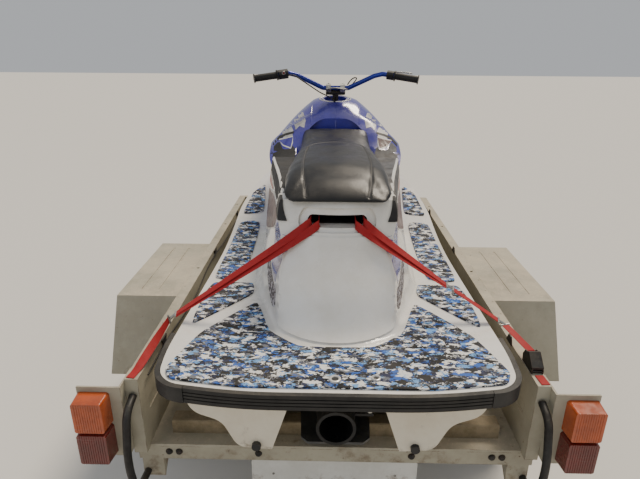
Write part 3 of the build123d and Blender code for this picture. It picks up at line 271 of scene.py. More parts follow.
def build_weave(g: Graph, ins: Inputs) -> list[Socket]:
    """Diagonal ribs of woven webbing from its UV map: height, and painted shade that darkens the grooves between the
    ribs.
    """
    uv = g.add("ShaderNodeUVMap", uv_map="UVMap").outputs[0]
    parts = g.add("ShaderNodeSeparateXYZ", {0: uv})
    along = g.math("MULTIPLY", parts.outputs[0], ins["Along"])
    across = g.math("MULTIPLY", parts.outputs[1], ins["Across"])
    rib = g.math("SINE", g.math("MULTIPLY", across, 6.2832))
    step = g.math("SINE", g.math("MULTIPLY", g.math("ADD", along, g.math("MULTIPLY", across, 0.5)), 6.2832))
    height = g.math("ADD", g.math("MULTIPLY", rib, 0.25), g.math("MULTIPLY", step, 0.25))
    return [g.math("ADD", height, 0.5), g.span(height, -0.5, 0.5)]


def build_spatter(g: Graph, ins: Inputs) -> list[Socket]:
    """Dried mud that thins out upwards from a height."""
    z = g.add("ShaderNodeSeparateXYZ", {0: ins["Vector"]}).outputs[2]
    low = g.math("SUBTRACT", ins["Top"], z)
    climb = g.math("DIVIDE", low, ins["Fade"], clamp=True)
    clouds = g.noise(ins["Vector"], ins["Scale"], 7.0, 0.72)
    return [g.span(g.math("SUBTRACT", g.math("ADD", clouds, g.math("MULTIPLY", climb, 0.45)), 0.62), 0.0, 0.22)]


EFFECTS = {
    Effect.MOTTLE: (build_mottle, {"Vector": None, "Scale": 6.0}, ["Mask"]),
    Effect.DUST: (build_dust, {"Vector": None, "Scale": 4.0, "Amount": 0.5}, ["Mask"]),
    Effect.WEAR: (build_wear, {"Vector": None, "Scale": 20.0, "Radius": 0.003, "Amount": 1.0}, ["Mask"]),
    Effect.GRAIN: (build_grain, {"Vector": None, "Scale": 500.0}, ["Height"]),
    Effect.SCRATCH: (build_scratch, {"Vector": None, "Scale": 8.0, "Amount": 0.5}, ["Mask"]),
    Effect.FLECKS: (build_flecks, {"Vector": None, "Scale": 60.0, "Level": 0.5}, ["Mask"]),
    Effect.WEAVE: (build_weave, {"Along": 400.0, "Across": 12.0}, ["Height", "Shade"]),
    Effect.SPATTER: (build_spatter, {"Vector": None, "Scale": 14.0, "Top": 0.4, "Fade": 0.3}, ["Mask"]),
}
COAT_ROUGHNESS = 0.08
SOILED_GLOSS = {"scratch": 0.75, "wear": 0.8, "dust": 0.9, "mud": 0.95}


@dataclass(frozen=True)
class Finish:
    """One surface finish: its colours, its gloss and what has aged it."""

    name: str
    slot: str
    base: str
    second: str
    rough: tuple[float, float] = (0.4, 0.55)
    metal: float = 0.0
    coat: float = 0.0
    clouds: float = 6.0
    dust: float = 0.0
    dust_tint: str = "A79C88"
    wear: float = 0.0
    wear_tint: str = "6A4A36"
    wear_radius: float = 0.003
    grain: tuple[float, float] = (0.0, 0.0)
    scratch: float = 0.0
    mud: tuple[float, float] = (0.0, 0.0)

    def colour(self, g: Graph, at: Socket) -> Socket:
        """The clean surface's colour, uneven between two tones."""
        cloud = Effect.MOTTLE.use(g, Vector=at, Scale=self.clouds).outputs[0]
        return g.mix(cloud, tint(self.base), tint(self.second))

    def height(self, g: Graph, at: Socket) -> tuple[Socket, float] | None:
        """Relief of the surface and its depth in metres, or None where it is smooth."""
        if not self.grain[1]:
            return None
        return Effect.GRAIN.use(g, Vector=at, Scale=self.grain[0]).outputs[0], self.grain[1]

    def material(self) -> bpy.types.Material:
        """The material, built at its first use."""
        found = bpy.data.materials.get(self.name)
        if found:
            return found
        made = bpy.data.materials.new(self.name)
        made.use_nodes = True
        g = Graph(made.node_tree)
        shader = made.node_tree.nodes["Principled BSDF"]
        at = g.object_place()
        colour = self.colour(g, at)
        gloss = g.span(g.noise(at, self.clouds * 2.3, 5.0, 0.65), 0.3, 0.7, *self.rough)
        metal = self.metal
        if self.scratch:
            mask = Effect.SCRATCH.use(g, Vector=at, Amount=self.scratch).outputs[0]
            gloss = g.between(mask, gloss, SOILED_GLOSS["scratch"])
            colour = g.mix(g.math("MULTIPLY", mask, 0.5), colour, tint("8C8A86"))
        if self.wear:
            mask = Effect.WEAR.use(g, Vector=at, Radius=self.wear_radius, Amount=self.wear).outputs[0]
            rust = g.mix(g.noise(at, 90.0, 4.0, 0.7), tint(self.wear_tint), tint("3A2A22"))
            colour = g.mix(mask, colour, rust)
            gloss = g.between(mask, gloss, SOILED_GLOSS["wear"])
            if self.metal:
                metal = g.between(mask, self.metal, self.metal * 0.3)
        if self.dust:
            mask = Effect.DUST.use(g, Vector=at, Amount=self.dust).outputs[0]
            colour = g.mix(mask, colour, tint(self.dust_tint))
            gloss = g.between(mask, gloss, SOILED_GLOSS["dust"])
        if self.mud[1]:
            mask = Effect.SPATTER.use(g, Vector=at, Top=self.mud[0], Fade=self.mud[1]).outputs[0]
            colour = g.mix(mask, colour, tint("7B6D5A"))
            gloss = g.between(mask, gloss, SOILED_GLOSS["mud"])
        g.feed(shader, {"Base Color": colour, "Roughness": gloss, "Metallic": metal, "Coat Weight": self.coat,
                        "Coat Roughness": COAT_ROUGHNESS})
        relief = self.height(g, at)
        if relief:
            bump = g.add("ShaderNodeBump", {"Height": relief[0], "Distance": relief[1], "Strength": 1.0})
            g.feed(shader, {"Normal": bump.outputs[0]})
        return made


@dataclass(frozen=True)
class Camouflage(Finish):
    """Printed foam: ragged flecks in dark, blue, pale and grey over black."""

    layers: tuple[tuple[str, float, float], ...] = ()
    by: Point = (0.42, 1.15, 1.0)

    def colour(self, g: Graph, at: Socket) -> Socket:
        """Flecks laid over one another, one layer for each colour."""
        made = g.mix(0.0, tint(self.base), tint(self.base))
        for i, (code, scale, level) in enumerate(self.layers):
            moved = g.stretched(at, self.by, (1.7 * i, 0.9 * i, 0.0))
            mask = Effect.FLECKS.use(g, Vector=moved, Scale=scale, Level=level).outputs[0]
            made = g.mix(mask, made, tint(code))
        return made


@dataclass(frozen=True)
class Webbing(Finish):
    """Woven strap with its ribs along the strap."""

    def colour(self, g: Graph, at: Socket) -> Socket:
        """Painted shade from the weave's relief: the darker red in its grooves, the brighter red on its ribs, under
        soiled patches.
        """
        # The weave's Shade output is painted shade, darker where its relief is low.
        shade = Effect.WEAVE.use(g).outputs[1]
        cloud = Effect.MOTTLE.use(g, Vector=at, Scale=self.clouds).outputs[0]
        thread = g.mix(shade, tint(self.second), tint(self.base))
        return g.mix(g.math("MULTIPLY", cloud, 0.35), thread, tint(self.second))

    def height(self, g: Graph, at: Socket) -> tuple[Socket, float]:
        """The weave's relief."""
        return Effect.WEAVE.use(g).outputs[0], 0.0004


GELCOAT = Finish("white_hull_gelcoat", "white_gelcoat", "F0EEE9", "E6E2D8", rough=(0.16, 0.3), coat=0.6,
                 clouds=3.0, dust=0.12, scratch=0.25)
LOBES = Finish("lower_hull_gelcoat", "white_gelcoat", "DAD3C2", "CFC6B2", rough=(0.3, 0.5), coat=0.25,
               clouds=4.0, scratch=0.5, mud=(0.585, 0.12))
VIOLET = Finish("violet_cowl_gelcoat", "cowl_violet", "3B36A6", "332E93", rough=(0.15, 0.28), coat=0.8,
                clouds=5.0, dust=0.18, scratch=0.25)
GRAPHITE = Finish("graphite_side_panels", "plastic_black", "222326", "191A1C", rough=(0.62, 0.76),
                  clouds=9.0, dust=0.08)
VINYL = Finish("black_grained_vinyl", "vinyl_black", "0D0D0F", "08080A", rough=(0.3, 0.44), clouds=7.0,
               dust=0.05, grain=(420.0, 0.00022))
RUBBER = Finish("black_rubber", "rubber_black", "161617", "0E0E0F", rough=(0.45, 0.65), clouds=9.0, dust=0.15,
                grain=(700.0, 0.0001))
PLASTIC = Finish("black_moulded_plastic", "plastic_black", "1B1B1D", "131314", rough=(0.4, 0.55), clouds=12.0,
                 dust=0.15, grain=(900.0, 0.00008))
MATS = Camouflage("camouflage_deck_foam", "mat_camouflage", "0F1014", "0F1014", rough=(0.7, 0.85), dust=0.08,
                  clouds=10.0, layers=(("1B2445", 62.0, 0.5), ("6B6E74", 66.0, 0.55), ("2A5FB4", 58.0, 0.575),
                                       ("E4E3DF", 60.0, 0.542), ("6FA3D8", 78.0, 0.6), ("0F1014", 52.0, 0.58)),
                  by=(0.46, 0.78, 1.0))
CAST = Finish("cast_pump_alloy", "cast_alloy", "5E5F60", "4A4B4C", rough=(0.4, 0.6), metal=0.7, clouds=12.0,
              grain=(300.0, 0.0002), mud=(0.6, 0.2))
DARK_ALLOY = Finish("dark_nozzle_alloy", "alloy_dark", "2A2A2B", "1E1E1F", rough=(0.35, 0.55), metal=0.5,
                    clouds=10.0, scratch=0.6, grain=(300.0, 0.00015))
BAR_BLUE = Finish("anodised_blue_bar", "bar_blue", "1B2C9A", "16247F", rough=(0.22, 0.35), metal=0.6, coat=0.3,
                  clouds=14.0, scratch=0.5)
STEEL = Finish("bright_steel", "steel_bright", "B9B8B4", "9C9B97", rough=(0.22, 0.42), metal=1.0, clouds=16.0,
               scratch=0.6)
DARK_STEEL = Finish("dark_steel", "steel_dark", "3A3A3A", "2C2A29", rough=(0.45, 0.65), metal=0.6, clouds=14.0,
                    wear=0.8, dust=0.3)
IRON = Finish("engine_paint", "iron_engine", "6B6C6C", "565757", rough=(0.5, 0.65), metal=0.2, clouds=9.0)
# Thick pale dust on the faces that look up: real dust, and also painted sunlight that brightens the tops of the
# fenders, walls and flanges.
OLIVE_DUST_AND_PAINTED_SUNLIT_TOPS = Finish("faded_olive_paint", "olive_paint", "ABA694", "989280", rough=(0.5, 0.68), clouds=3.4, wear=0.9,
               dust=0.75, dust_tint="CBBEA9", scratch=0.5, mud=(0.55, 0.35))
TIMBER = Finish("weathered_timber", "timber_olive", "8E8067", "74684F", rough=(0.7, 0.85), clouds=12.0, dust=0.4)
TYRE = Finish("tyre_rubber", "tyre_rubber", "1D1D1D", "151515", rough=(0.7, 0.85), clouds=12.0, dust=0.2,
              mud=(0.4, 0.5), grain=(600.0, 0.0001))
RIM = Finish("rim_paint", "rim_paint", "8D8E8B", "7A7B78", rough=(0.4, 0.55), metal=0.2, clouds=10.0, wear=0.8,
             mud=(0.45, 0.4))
AMBER = Finish("amber_lens", "lens_amber", "B8501C", "9C4216", rough=(0.12, 0.25), coat=0.5, clouds=14.0,
               dust=0.1, scratch=0.4)
RED_LENS = Finish("red_lens", "lens_red", "6E1712", "5A110D", rough=(0.12, 0.25), coat=0.5, clouds=14.0,
                  dust=0.1, scratch=0.4)
PLATE = Finish("blank_plate_enamel", "plate_white", "D8D8D3", "CCCBC4", rough=(0.3, 0.45), coat=0.2, clouds=8.0,
               dust=0.2, mud=(0.36, 0.1))
STRAP = Webbing("red_webbing", "webbing_red", "C0161A", "8E1013", rough=(0.6, 0.75), clouds=10.0)
# The piping tube is real; its pale grey colour is a painted highlight along the seat's seams.
PIPING_PAINTED_HIGHLIGHT = Finish("seat_piping", "vinyl_black", "4A4A4C", "3A3A3C", rough=(0.4, 0.55), clouds=40.0, dust=0.3)
THREAD = Finish("seat_thread", "vinyl_black", "6E6C68", "54524F", rough=(0.6, 0.75), clouds=60.0)
SILVER = Finish("silver_flash", "white_gelcoat", "D9D6D0", "A9A7A8", rough=(0.25, 0.4), metal=0.2, coat=0.5,
                clouds=45.0, dust=0.15, scratch=0.3)
MARBLED = Finish("marbled_side_panel", "plastic_black", "626367", "2C2E33", rough=(0.55, 0.7),
                 clouds=26.0, dust=0.2, scratch=0.3)
WHITE_LINE = Finish("white_pinstripe", "white_gelcoat", "E9E6E0", "DAD6CD", rough=(0.3, 0.45), coat=0.3,
                    clouds=20.0, dust=0.2)
RED_STRIPE = Finish("orange_red_stripe", "lens_red", "B02A12", "8E200C", rough=(0.35, 0.5), coat=0.15, clouds=20.0,
                    dust=0.06, scratch=0.3)
MAROON = Finish("maroon_panel", "cowl_violet", "57242C", "39191F", rough=(0.35, 0.5), coat=0.15, clouds=22.0,
                dust=0.08, scratch=0.3)
PRINT = Camouflage("printed_strip", "cowl_violet", "3A2A30", "2E2328", rough=(0.35, 0.5), coat=0.1, clouds=10.0,
                   layers=(("C9C6CC", 60.0, 0.54), ("17161F", 70.0, 0.6)), by=(1.0, 1.0, 1.6))

NODE_FINISHES: dict[str, Finish] = {node: finish for finish, nodes in (
    (LOBES, "hull"),
    (GELCOAT, "deck"),
    (MATS, "traction_mats"),
    (VINYL, "seat"),
    (VIOLET, "cowl hood"),
    (RUBBER, "stern_bumper bow_bumper seat_corner_pads grips"),
    (PLASTIC, "storage_bin drain_plugs switch_housing throttle_housing control_cables"),
    (STEEL, "bow_eye hood_hinge impeller steer_rod deck_fittings bar_clamps throttle_lever strap_hooks"),
    (IRON, "engine"),
    (CAST, "pump_housing ride_plate intake_grate"),
    (DARK_ALLOY, "steer_nozzle"),
    (BAR_BLUE, "handlebar"),
    (DARK_STEEL, "steering_column coupler coupler_handle axle leaf_springs lamp_guards ratchet hub_left hub_right"),
    (TIMBER, "cross_timbers"),
    (OLIVE_DUST_AND_PAINTED_SUNLIT_TOPS, "box_floor front_board chassis rear_sill drawbar front_stand stand_bracket lamp_brackets"
            " side_wall_left side_wall_right fender_left fender_right"),
    (AMBER, "lamp_amber"),
    (RED_LENS, "lamp_red"),
    (PLATE, "number_plate"),
    (STRAP, "strap_left strap_right"),
    (RIM, "rim_left rim_right"),
    (TYRE, "tyre_left tyre_right"),
) for node in nodes.split()}


def coated(obj: Obj, finish: Finish) -> None:
    """Gives an object a finish as its only material."""
    obj.data.materials.clear()
    obj.data.materials.append(finish.material())


def settle(obj: Obj, body: str, finish: Finish, *nodes: str) -> Obj:
    """Gives a finished piece its material, its body and the CAD nodes that it stands for.

    Args:
        obj: The piece, at the origin.
        body: The CAD body that it rides on.
        finish: Its finish.
        nodes: CAD nodes that it replaces.

    Returns:
        The piece.
    """
    coated(obj, finish)
    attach(obj, body)
    if nodes:
        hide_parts(*nodes)
    LOG.info("%s: %d faces on %s", obj.name, len(obj.data.polygons), body)
    return obj


def grown(name: str, data: bpy.types.ID) -> Obj:
    """A new object in the scene on a mesh, a curve, a lamp or a camera."""
    obj = bpy.data.objects.new(name, data)
    bpy.context.scene.collection.objects.link(obj)
    return obj


def smoothed(mesh: bpy.types.Mesh, angle: float) -> None:
    """Shades a mesh smooth, with sharp edges above an angle in degrees."""
    mesh.shade_smooth()
    mesh.set_sharp_from_angle(angle=math.radians(angle))


def as_mesh(name: str, work: bmesh.types.BMesh) -> bpy.types.Mesh:
    """A new mesh with what a bmesh holds, which is freed."""
    mesh = bpy.data.meshes.new(name)
    work.to_mesh(mesh)
    work.free()
    return mesh


def from_bmesh(name: str, work: bmesh.types.BMesh, angle: float = SHARP_ANGLE) -> Obj:
    """An object from a bmesh, with its faces outwards and sharp edges above an angle in degrees."""
    bmesh.ops.recalc_face_normals(work, faces=work.faces)
    mesh = as_mesh(name, work)
    smoothed(mesh, angle)
    return grown(name, mesh)


def meshed(made: Obj) -> Obj:
    """Turns a curve or a stack of modifiers into a plain mesh object of the same name."""
    name = made.name
    mesh = bpy.data.meshes.new_from_object(made.evaluated_get(bpy.context.evaluated_depsgraph_get()))
    bpy.data.objects.remove(made)
    mesh.name = name
    return grown(name, mesh)


def thickened(sheet: Obj, thick: float, offset: float) -> Obj:
    """A plain mesh of a sheet with its thickness in millimetres, laid to the side that the offset gives."""
    wall = sheet.modifiers.new("thickness", "SOLIDIFY")
    wall.thickness, wall.offset = thick * MM, offset
    return meshed(sheet)


def bridged(work: bmesh.types.BMesh, rings: Sequence[Sequence[bmesh.types.BMVert]], capped: bool = True) -> None:
    """Faces between closed rings of as many corners each, and over the first and the last one."""
    for low, high in zip(rings, rings[1:]):
        for i, corner in enumerate(low):
            j = (i + 1) % len(low)
            work.faces.new((corner, low[j], high[j], high[i]))
    if capped:
        work.faces.new(rings[0])
        work.faces.new(rings[-1])


def merged_copy(source: Obj, name: str) -> Obj:
    """A closed, smoothly shaded copy of a CAD node, with flat faces that stay flat in their shading."""
    work = bmesh.new()
    work.from_mesh(source.data)
    bmesh.ops.remove_doubles(work, verts=work.verts, dist=MERGE_DISTANCE)
    mesh = as_mesh(name, work)
    if mesh.attributes.get("custom_normal"):
        mesh.attributes.remove(mesh.attributes["custom_normal"])
    smoothed(mesh, SHARP_ANGLE)
    made = grown(name, mesh)
    made.modifiers.new("even_normals", "WEIGHTED_NORMAL").keep_sharp = True
    return made


def joined(name: str, pieces: list[Obj]) -> Obj:
    """One object of several, which are removed."""
    work = bmesh.new()
    for piece in pieces:
        work.from_mesh(piece.data)
        bpy.data.objects.remove(piece)
    mesh = as_mesh(name, work)
    smoothed(mesh, ROUND_ANGLE)
    return grown(name, mesh)


def tube(name: str, points: Sequence[Vector], radius: float, closed: bool = False) -> Obj:
    """A round tube with closed ends along a smooth line.

    Args:
        name: Name of the object.
        points: Control points in metres.
        radius: Radius in metres.
        closed: True for a ring.

    Returns:
        The tube as a mesh.
    """
    curve = bpy.data.curves.new(name, "CURVE")
    curve.dimensions, curve.bevel_depth, curve.bevel_resolution = "3D", radius, 2
    curve.use_fill_caps, curve.resolution_u = True, 4
    spline = curve.splines.new("NURBS")
    spline.points.add(len(points) - 1)
    for point, at in zip(spline.points, points):
        point.co = (*at, 1.0)
    spline.use_cyclic_u, spline.order_u, spline.use_endpoint_u = closed, 3, not closed
    made = meshed(grown(name, curve))
    smoothed(made.data, 50.0)
    return made


def turned(name: str, profile: Sequence[Spot], sides: int, lie: bool = False) -> Obj:
    """A small piece turned about its Z axis, or about X where it lies.

    Args:
        name: Name of the object.
        profile: Radius and height of each ring in millimetres, from one end to the other.
        sides: Faces round the axis.
        lie: True to lay the axis along X.

    Returns:
        The piece at the origin.
    """
    work = bmesh.new()
    rings = []
    for radius, height in profile:
        ring = []
        for i in range(1 if radius == 0 else sides):
            angle = math.tau * i / sides
            x, y, z = radius * math.cos(angle), radius * math.sin(angle), height
            ring.append(work.verts.new([c * MM for c in ((z, x, y) if lie else (x, y, z))]))
        rings.append(ring)
    for low, high in zip(rings, rings[1:]):
        for i in range(sides):
            j = (i + 1) % sides
            face = [low[i % len(low)], low[j % len(low)], high[j % len(high)], high[i % len(high)]]
            work.faces.new(list(dict.fromkeys(face)))
    return from_bmesh(name, work, ROUND_ANGLE)


def plate(name: str, outline: Sequence[Spot], thick: float, chamfer: float) -> Obj:
    """A small flat piece with chamfered upper edges, its outline in millimetres on the XY plane."""
    work = bmesh.new()
    middle = Vector((sum(x for x, _ in outline), sum(y for _, y in outline), 0)) / len(outline)
    levels = []
    for height, inset in ((0, 0.0), (thick - chamfer, 0.0), (thick, chamfer)):
        ring = []
        for x, y in outline:
            away = Vector((x, y, 0)) - middle
            at = middle + away * (1 - inset / max(away.length, 0.01))
            ring.append(work.verts.new((at.x * MM, at.y * MM, height * MM)))
        levels.append(ring)
    bridged(work, levels)
    return from_bmesh(name, work, 30.0)


RULE_DEFAULTS = {"Size": 1.0, "Pitch": 0.01}


class Rule(Enum):
    """Geometry Nodes trees that repeat a small piece."""

    MARKS = "pieces_on_marks"
    PATH = "pieces_along_a_path"

    def tree(self) -> bpy.types.NodeTree:
        """The tree, built at its first use."""
        found = bpy.data.node_groups.get(self.value)
        if found:
            return found
        tree = bpy.data.node_groups.new(self.value, "GeometryNodeTree")
        tree.is_modifier = True
        face = tree.interface
        for name, kind in (("Geometry", "Geometry"), ("Piece", "Object"), ("Size", "Float"), ("Pitch", "Float"),
                           ("Finish", "Material")):
            socket = face.new_socket(name, in_out="INPUT", socket_type=f"NodeSocket{kind}")
            if name in RULE_DEFAULTS:
                socket.default_value = RULE_DEFAULTS[name]
        face.new_socket("Geometry", in_out="OUTPUT", socket_type="NodeSocketGeometry")
        g = Graph(tree)
        ins = g.add("NodeGroupInput").outputs
        out_way = g.add("GeometryNodeInputNamedAttribute", {"Name": "out"}, data_type="FLOAT_VECTOR")
        if self is Rule.MARKS:
            points = ins["Geometry"]
            along = g.add("GeometryNodeInputNamedAttribute", {"Name": "along"}, data_type="FLOAT_VECTOR")
        else:
            path = g.add("GeometryNodeMeshToCurve", {"Mesh": ins["Geometry"]})
            points = g.add("GeometryNodeResampleCurve", {"Curve": path.outputs[0], "Length": ins["Pitch"]},
                           mode="LENGTH").outputs[0]
            along = g.add("GeometryNodeInputTangent")
        turn = g.add("FunctionNodeAxesToRotation", {0: out_way.outputs["Attribute"], 1: along.outputs[0]},
                     primary_axis="Z", secondary_axis="X")
        piece = g.add("GeometryNodeObjectInfo", {"Object": ins["Piece"]})
        copies = g.add("GeometryNodeInstanceOnPoints",
                       {"Points": points, "Instance": piece.outputs["Geometry"], "Rotation": turn.outputs[0],
                        "Scale": ins["Size"]})
        real = g.add("GeometryNodeRealizeInstances", {0: copies.outputs[0]})
        done = g.add("GeometryNodeSetMaterial", {"Geometry": real.outputs[0], "Material": ins["Finish"]})
        g.add("NodeGroupOutput", {0: done.outputs[0]})
        return tree

    def lay(self, name: str, lines: Sequence[Sequence["Mark"]], piece: Obj, finish: "Finish",
            body: str, **sizes: float) -> Obj:
        """Repeats a piece and settles the result on a body.

        Args:
            name: Name of the result.
            lines: Marks, line by line; a path joins the marks of one line.
            piece: The piece to repeat, with Z outwards and X along; it is removed.
            finish: Finish of the copies.
            body: CAD body that carries them.
            sizes: Values of the tree's inputs Size and Pitch.

        Returns:
            One plain mesh of all the copies.
        """
        marks = [mark for line in lines for mark in line]
        edges, start = [], 0
        for line in lines:
            edges += [(start + i, start + i + 1) for i in range(len(line) - 1)]
            start += len(line)
        mesh = bpy.data.meshes.new(name)
        mesh.from_pydata([m.at for m in marks], edges if self is Rule.PATH else [], [])
        for key in ("out", "along"):
            layer = mesh.attributes.new(key, "FLOAT_VECTOR", "POINT")
            layer.data.foreach_set("vector", [c for m in marks for c in getattr(m, key)])
        holder = grown(name, mesh)
        modifier = holder.modifiers.new("repeat", "NODES")
        modifier.node_group = self.tree()
        values = {"Piece": piece, "Finish": finish.material(), **sizes}
        for item in self.tree().interface.items_tree:
            if item.in_out == "INPUT" and item.name in values:
                modifier[item.identifier] = values[item.name]
        made = meshed(holder)
        bpy.data.objects.remove(piece)
        return settle(made, body, finish)


@dataclass(frozen=True)
class Mark:
    """Where a repeated piece goes: its place, the way out of the surface and the way along it."""

    at: Vector
    out: Vector
    along: Vector = Vector((1.0, 0.0, 0.0))


class View(Enum):
    """The side from which a graphic is laid on, and so what its two coordinates are."""

    LEFT = "station and height, from the left"
    RIGHT = "station and height, from the right"
    REAR = "width and height, from the rear"
    ABOVE = "width and station, from above"

    def ray(self, u: float, v: float) -> tuple[Vector, Vector]:
        """Start and way of the line of sight through a place in millimetres."""
        if self is View.REAR:
            return place(u, -300, v), Vector((0, 1, 0))
        if self is View.ABOVE:
            return place(u, v, 2500), Vector((0, 0, -1))
        side = -1 if self is View.LEFT else 1
        return place(side * 1500, u, v), Vector((-side, 0, 0))


class Skin:
    """The surface of some pieces, for laying graphics and small parts on it."""

    def __init__(self, *pieces: Obj) -> None:
        """Takes in the pieces' meshes."""
        points, faces = [], []
        for piece in pieces:
            start = len(points)
            points += [v.co.copy() for v in piece.data.vertices]
            faces += [[start + i for i in face.vertices] for face in piece.data.polygons]
        self.tree = BVHTree.FromPolygons(points, faces)

    def under(self, view: View, u: float, v: float) -> Mark | None:
        """The skin's place and outward way seen through a place of a view, or None beside the pieces."""
        start, way = view.ray(u, v)
        at, normal, _, _ = self.tree.ray_cast(start, way)
        if at is None:
            return None
        return Mark(at, -normal if normal.dot(way) > 0 else normal)

    def line(self, view: View, points: Sequence[Spot], step: float, lift: float) -> list[Mark]:
        """Marks along a line of a view, laid on the skin.

        Args:
            view: Where the line is seen from.
            points: The line's corners in millimetres.
            step: Distance between marks in millimetres.
            lift: Height above the skin in millimetres.

        Returns:
            Marks in order, without those beside the skin.
        """
        found = [self.under(view, *p) for p in divided(points, step)]
        return [Mark(m.at + m.out * lift * MM, m.out) for m in found if m]


def sided(outline: Outline, side: int) -> Outline:
    """An outline drawn for the right, on the side that has the given sign."""
    return tuple((side * x, y) for x, y in outline)


def rounded(points: list[Spot], closed: bool, times: int = 2, share: float = 0.25) -> list[Spot]:
    """A line with a share of each run cut off at its corners, so that it bends softly."""
    for _ in range(times):
        cut = [] if closed else [points[0]]
        pairs = list(zip(points, points[1:] + (points[:1] if closed else [])))
        for (x0, y0), (x1, y1) in pairs:
            cut += [(x0 + (x1 - x0) * t, y0 + (y1 - y0) * t) for t in (share, 1 - share)]
        points = cut if closed else cut + [points[-1]]
    return points


def divided(points: Sequence[Spot], step: float) -> list[Spot]:
    """A line with points added so that none of its runs is longer than the step."""
    made = [points[0]]
    for (x0, y0), (x1, y1) in zip(points, points[1:]):
        count = max(1, math.ceil(math.hypot(x1 - x0, y1 - y0) / step))
        made += [(x0 + (x1 - x0) * i / count, y0 + (y1 - y0) * i / count) for i in range(1, count + 1)]
    return made


def is_inside(point: tuple[float, float], outline: Sequence[Spot]) -> bool:
    """Whether a point is inside a closed outline."""
    x, y = point
    inside = False
    for (x0, y0), (x1, y1) in zip(outline, [*outline[1:], outline[0]]):
        if (y0 > y) != (y1 > y) and x < (x1 - x0) * (y - y0) / (y1 - y0) + x0:
            inside = not inside
    return inside


@dataclass(frozen=True)
class Patch:
    """A thin sheet of one finish, laid on the skin inside an outline in millimetres."""

    name: str
    finish: "Finish"
    view: View
    outline: Outline
    lift: float = 0.7
    thick: float = 0.5
    step: float = 7.0
    soft: bool = True
    steep: float = 5.0

    def lay(self, skin: Skin, body: str) -> Obj:
        """Makes the sheet and settles it.

        Args:
            skin: What it lies on.
            body: CAD body that carries it.

        Returns:
            The sheet with its thickness.
        """
        outline = rounded(list(self.outline), True) if self.soft else list(self.outline)
        rim = divided([*outline, outline[0]], self.step)[:-1]
        points = [Vector(p) for p in rim]
        us, vs = [p[0] for p in rim], [p[1] for p in rim]
        for i in range(int((max(us) - min(us)) / self.step)):
            for j in range(int((max(vs) - min(vs)) / self.step)):
                at = (min(us) + (i + 0.5) * self.step, min(vs) + (j + 0.5) * self.step)
                far = min(math.hypot(at[0] - u, at[1] - v) for u, v in rim) > 0.5 * self.step
                if far and is_inside(at, rim):
                    points.append(Vector(at))
        count = len(rim)
        flat = geometry.delaunay_2d_cdt(points, [(i, (i + 1) % count) for i in range(count)], [], 1, 1e-4)
        work = bmesh.new()
        marks = [skin.under(self.view, *p) for p in flat[0]]
        corners = [m and work.verts.new(m.at + m.out * self.lift * MM) for m in marks]
        for face in flat[2]:
            if all(corners[i] for i in face):
                made = work.faces.new([corners[i] for i in face])
                made.normal_update()
                if made.normal.dot(marks[face[0]].out) < 0:
                    made.normal_flip()
        steep = [e for e in work.edges if e.calc_length() > self.steep * self.step * MM]
        bmesh.ops.delete(work, geom=steep, context="EDGES")
        bmesh.ops.delete(work, geom=[v for v in work.verts if not v.link_faces], context="VERTS")
        sheet = thickened(grown(self.name, as_mesh(self.name, work)), self.thick, -1.0)
        smoothed(sheet.data, ROUND_ANGLE)
        return settle(sheet, body, self.finish)


SMOOTH_NODES = (
    "hull deck stern_bumper bow_bumper bow_eye seat_corner_pads cowl hood impeller pump_housing steer_nozzle"
    " steer_rod ride_plate intake_grate drain_plugs deck_fittings steering_column handlebar bar_clamps grips"
    " switch_housing throttle_housing throttle_lever control_cables coupler coupler_handle lamp_amber lamp_red"
    " lamp_guards strap_hooks fender_left fender_right hub_left hub_right rim_left rim_right tyre_left"
    " tyre_right number_plate side_wall_left side_wall_right drawbar front_stand storage_bin engine hood_hinge"
).split()


def eased(rows: Sequence[Sequence[float]], at: float) -> list[float]:
    """A table's values at its first column's value, eased between rows."""
    keys = [row[0] for row in rows]
    i = min(max(int(np.searchsorted(keys, at)), 1), len(rows) - 1)
    share = min(max((at - keys[i - 1]) / (keys[i] - keys[i - 1]), 0.0), 1.0)
    share = share * share * (3 - 2 * share)
    return [a + (b - a) * share for a, b in zip(rows[i - 1][1:], rows[i][1:])]


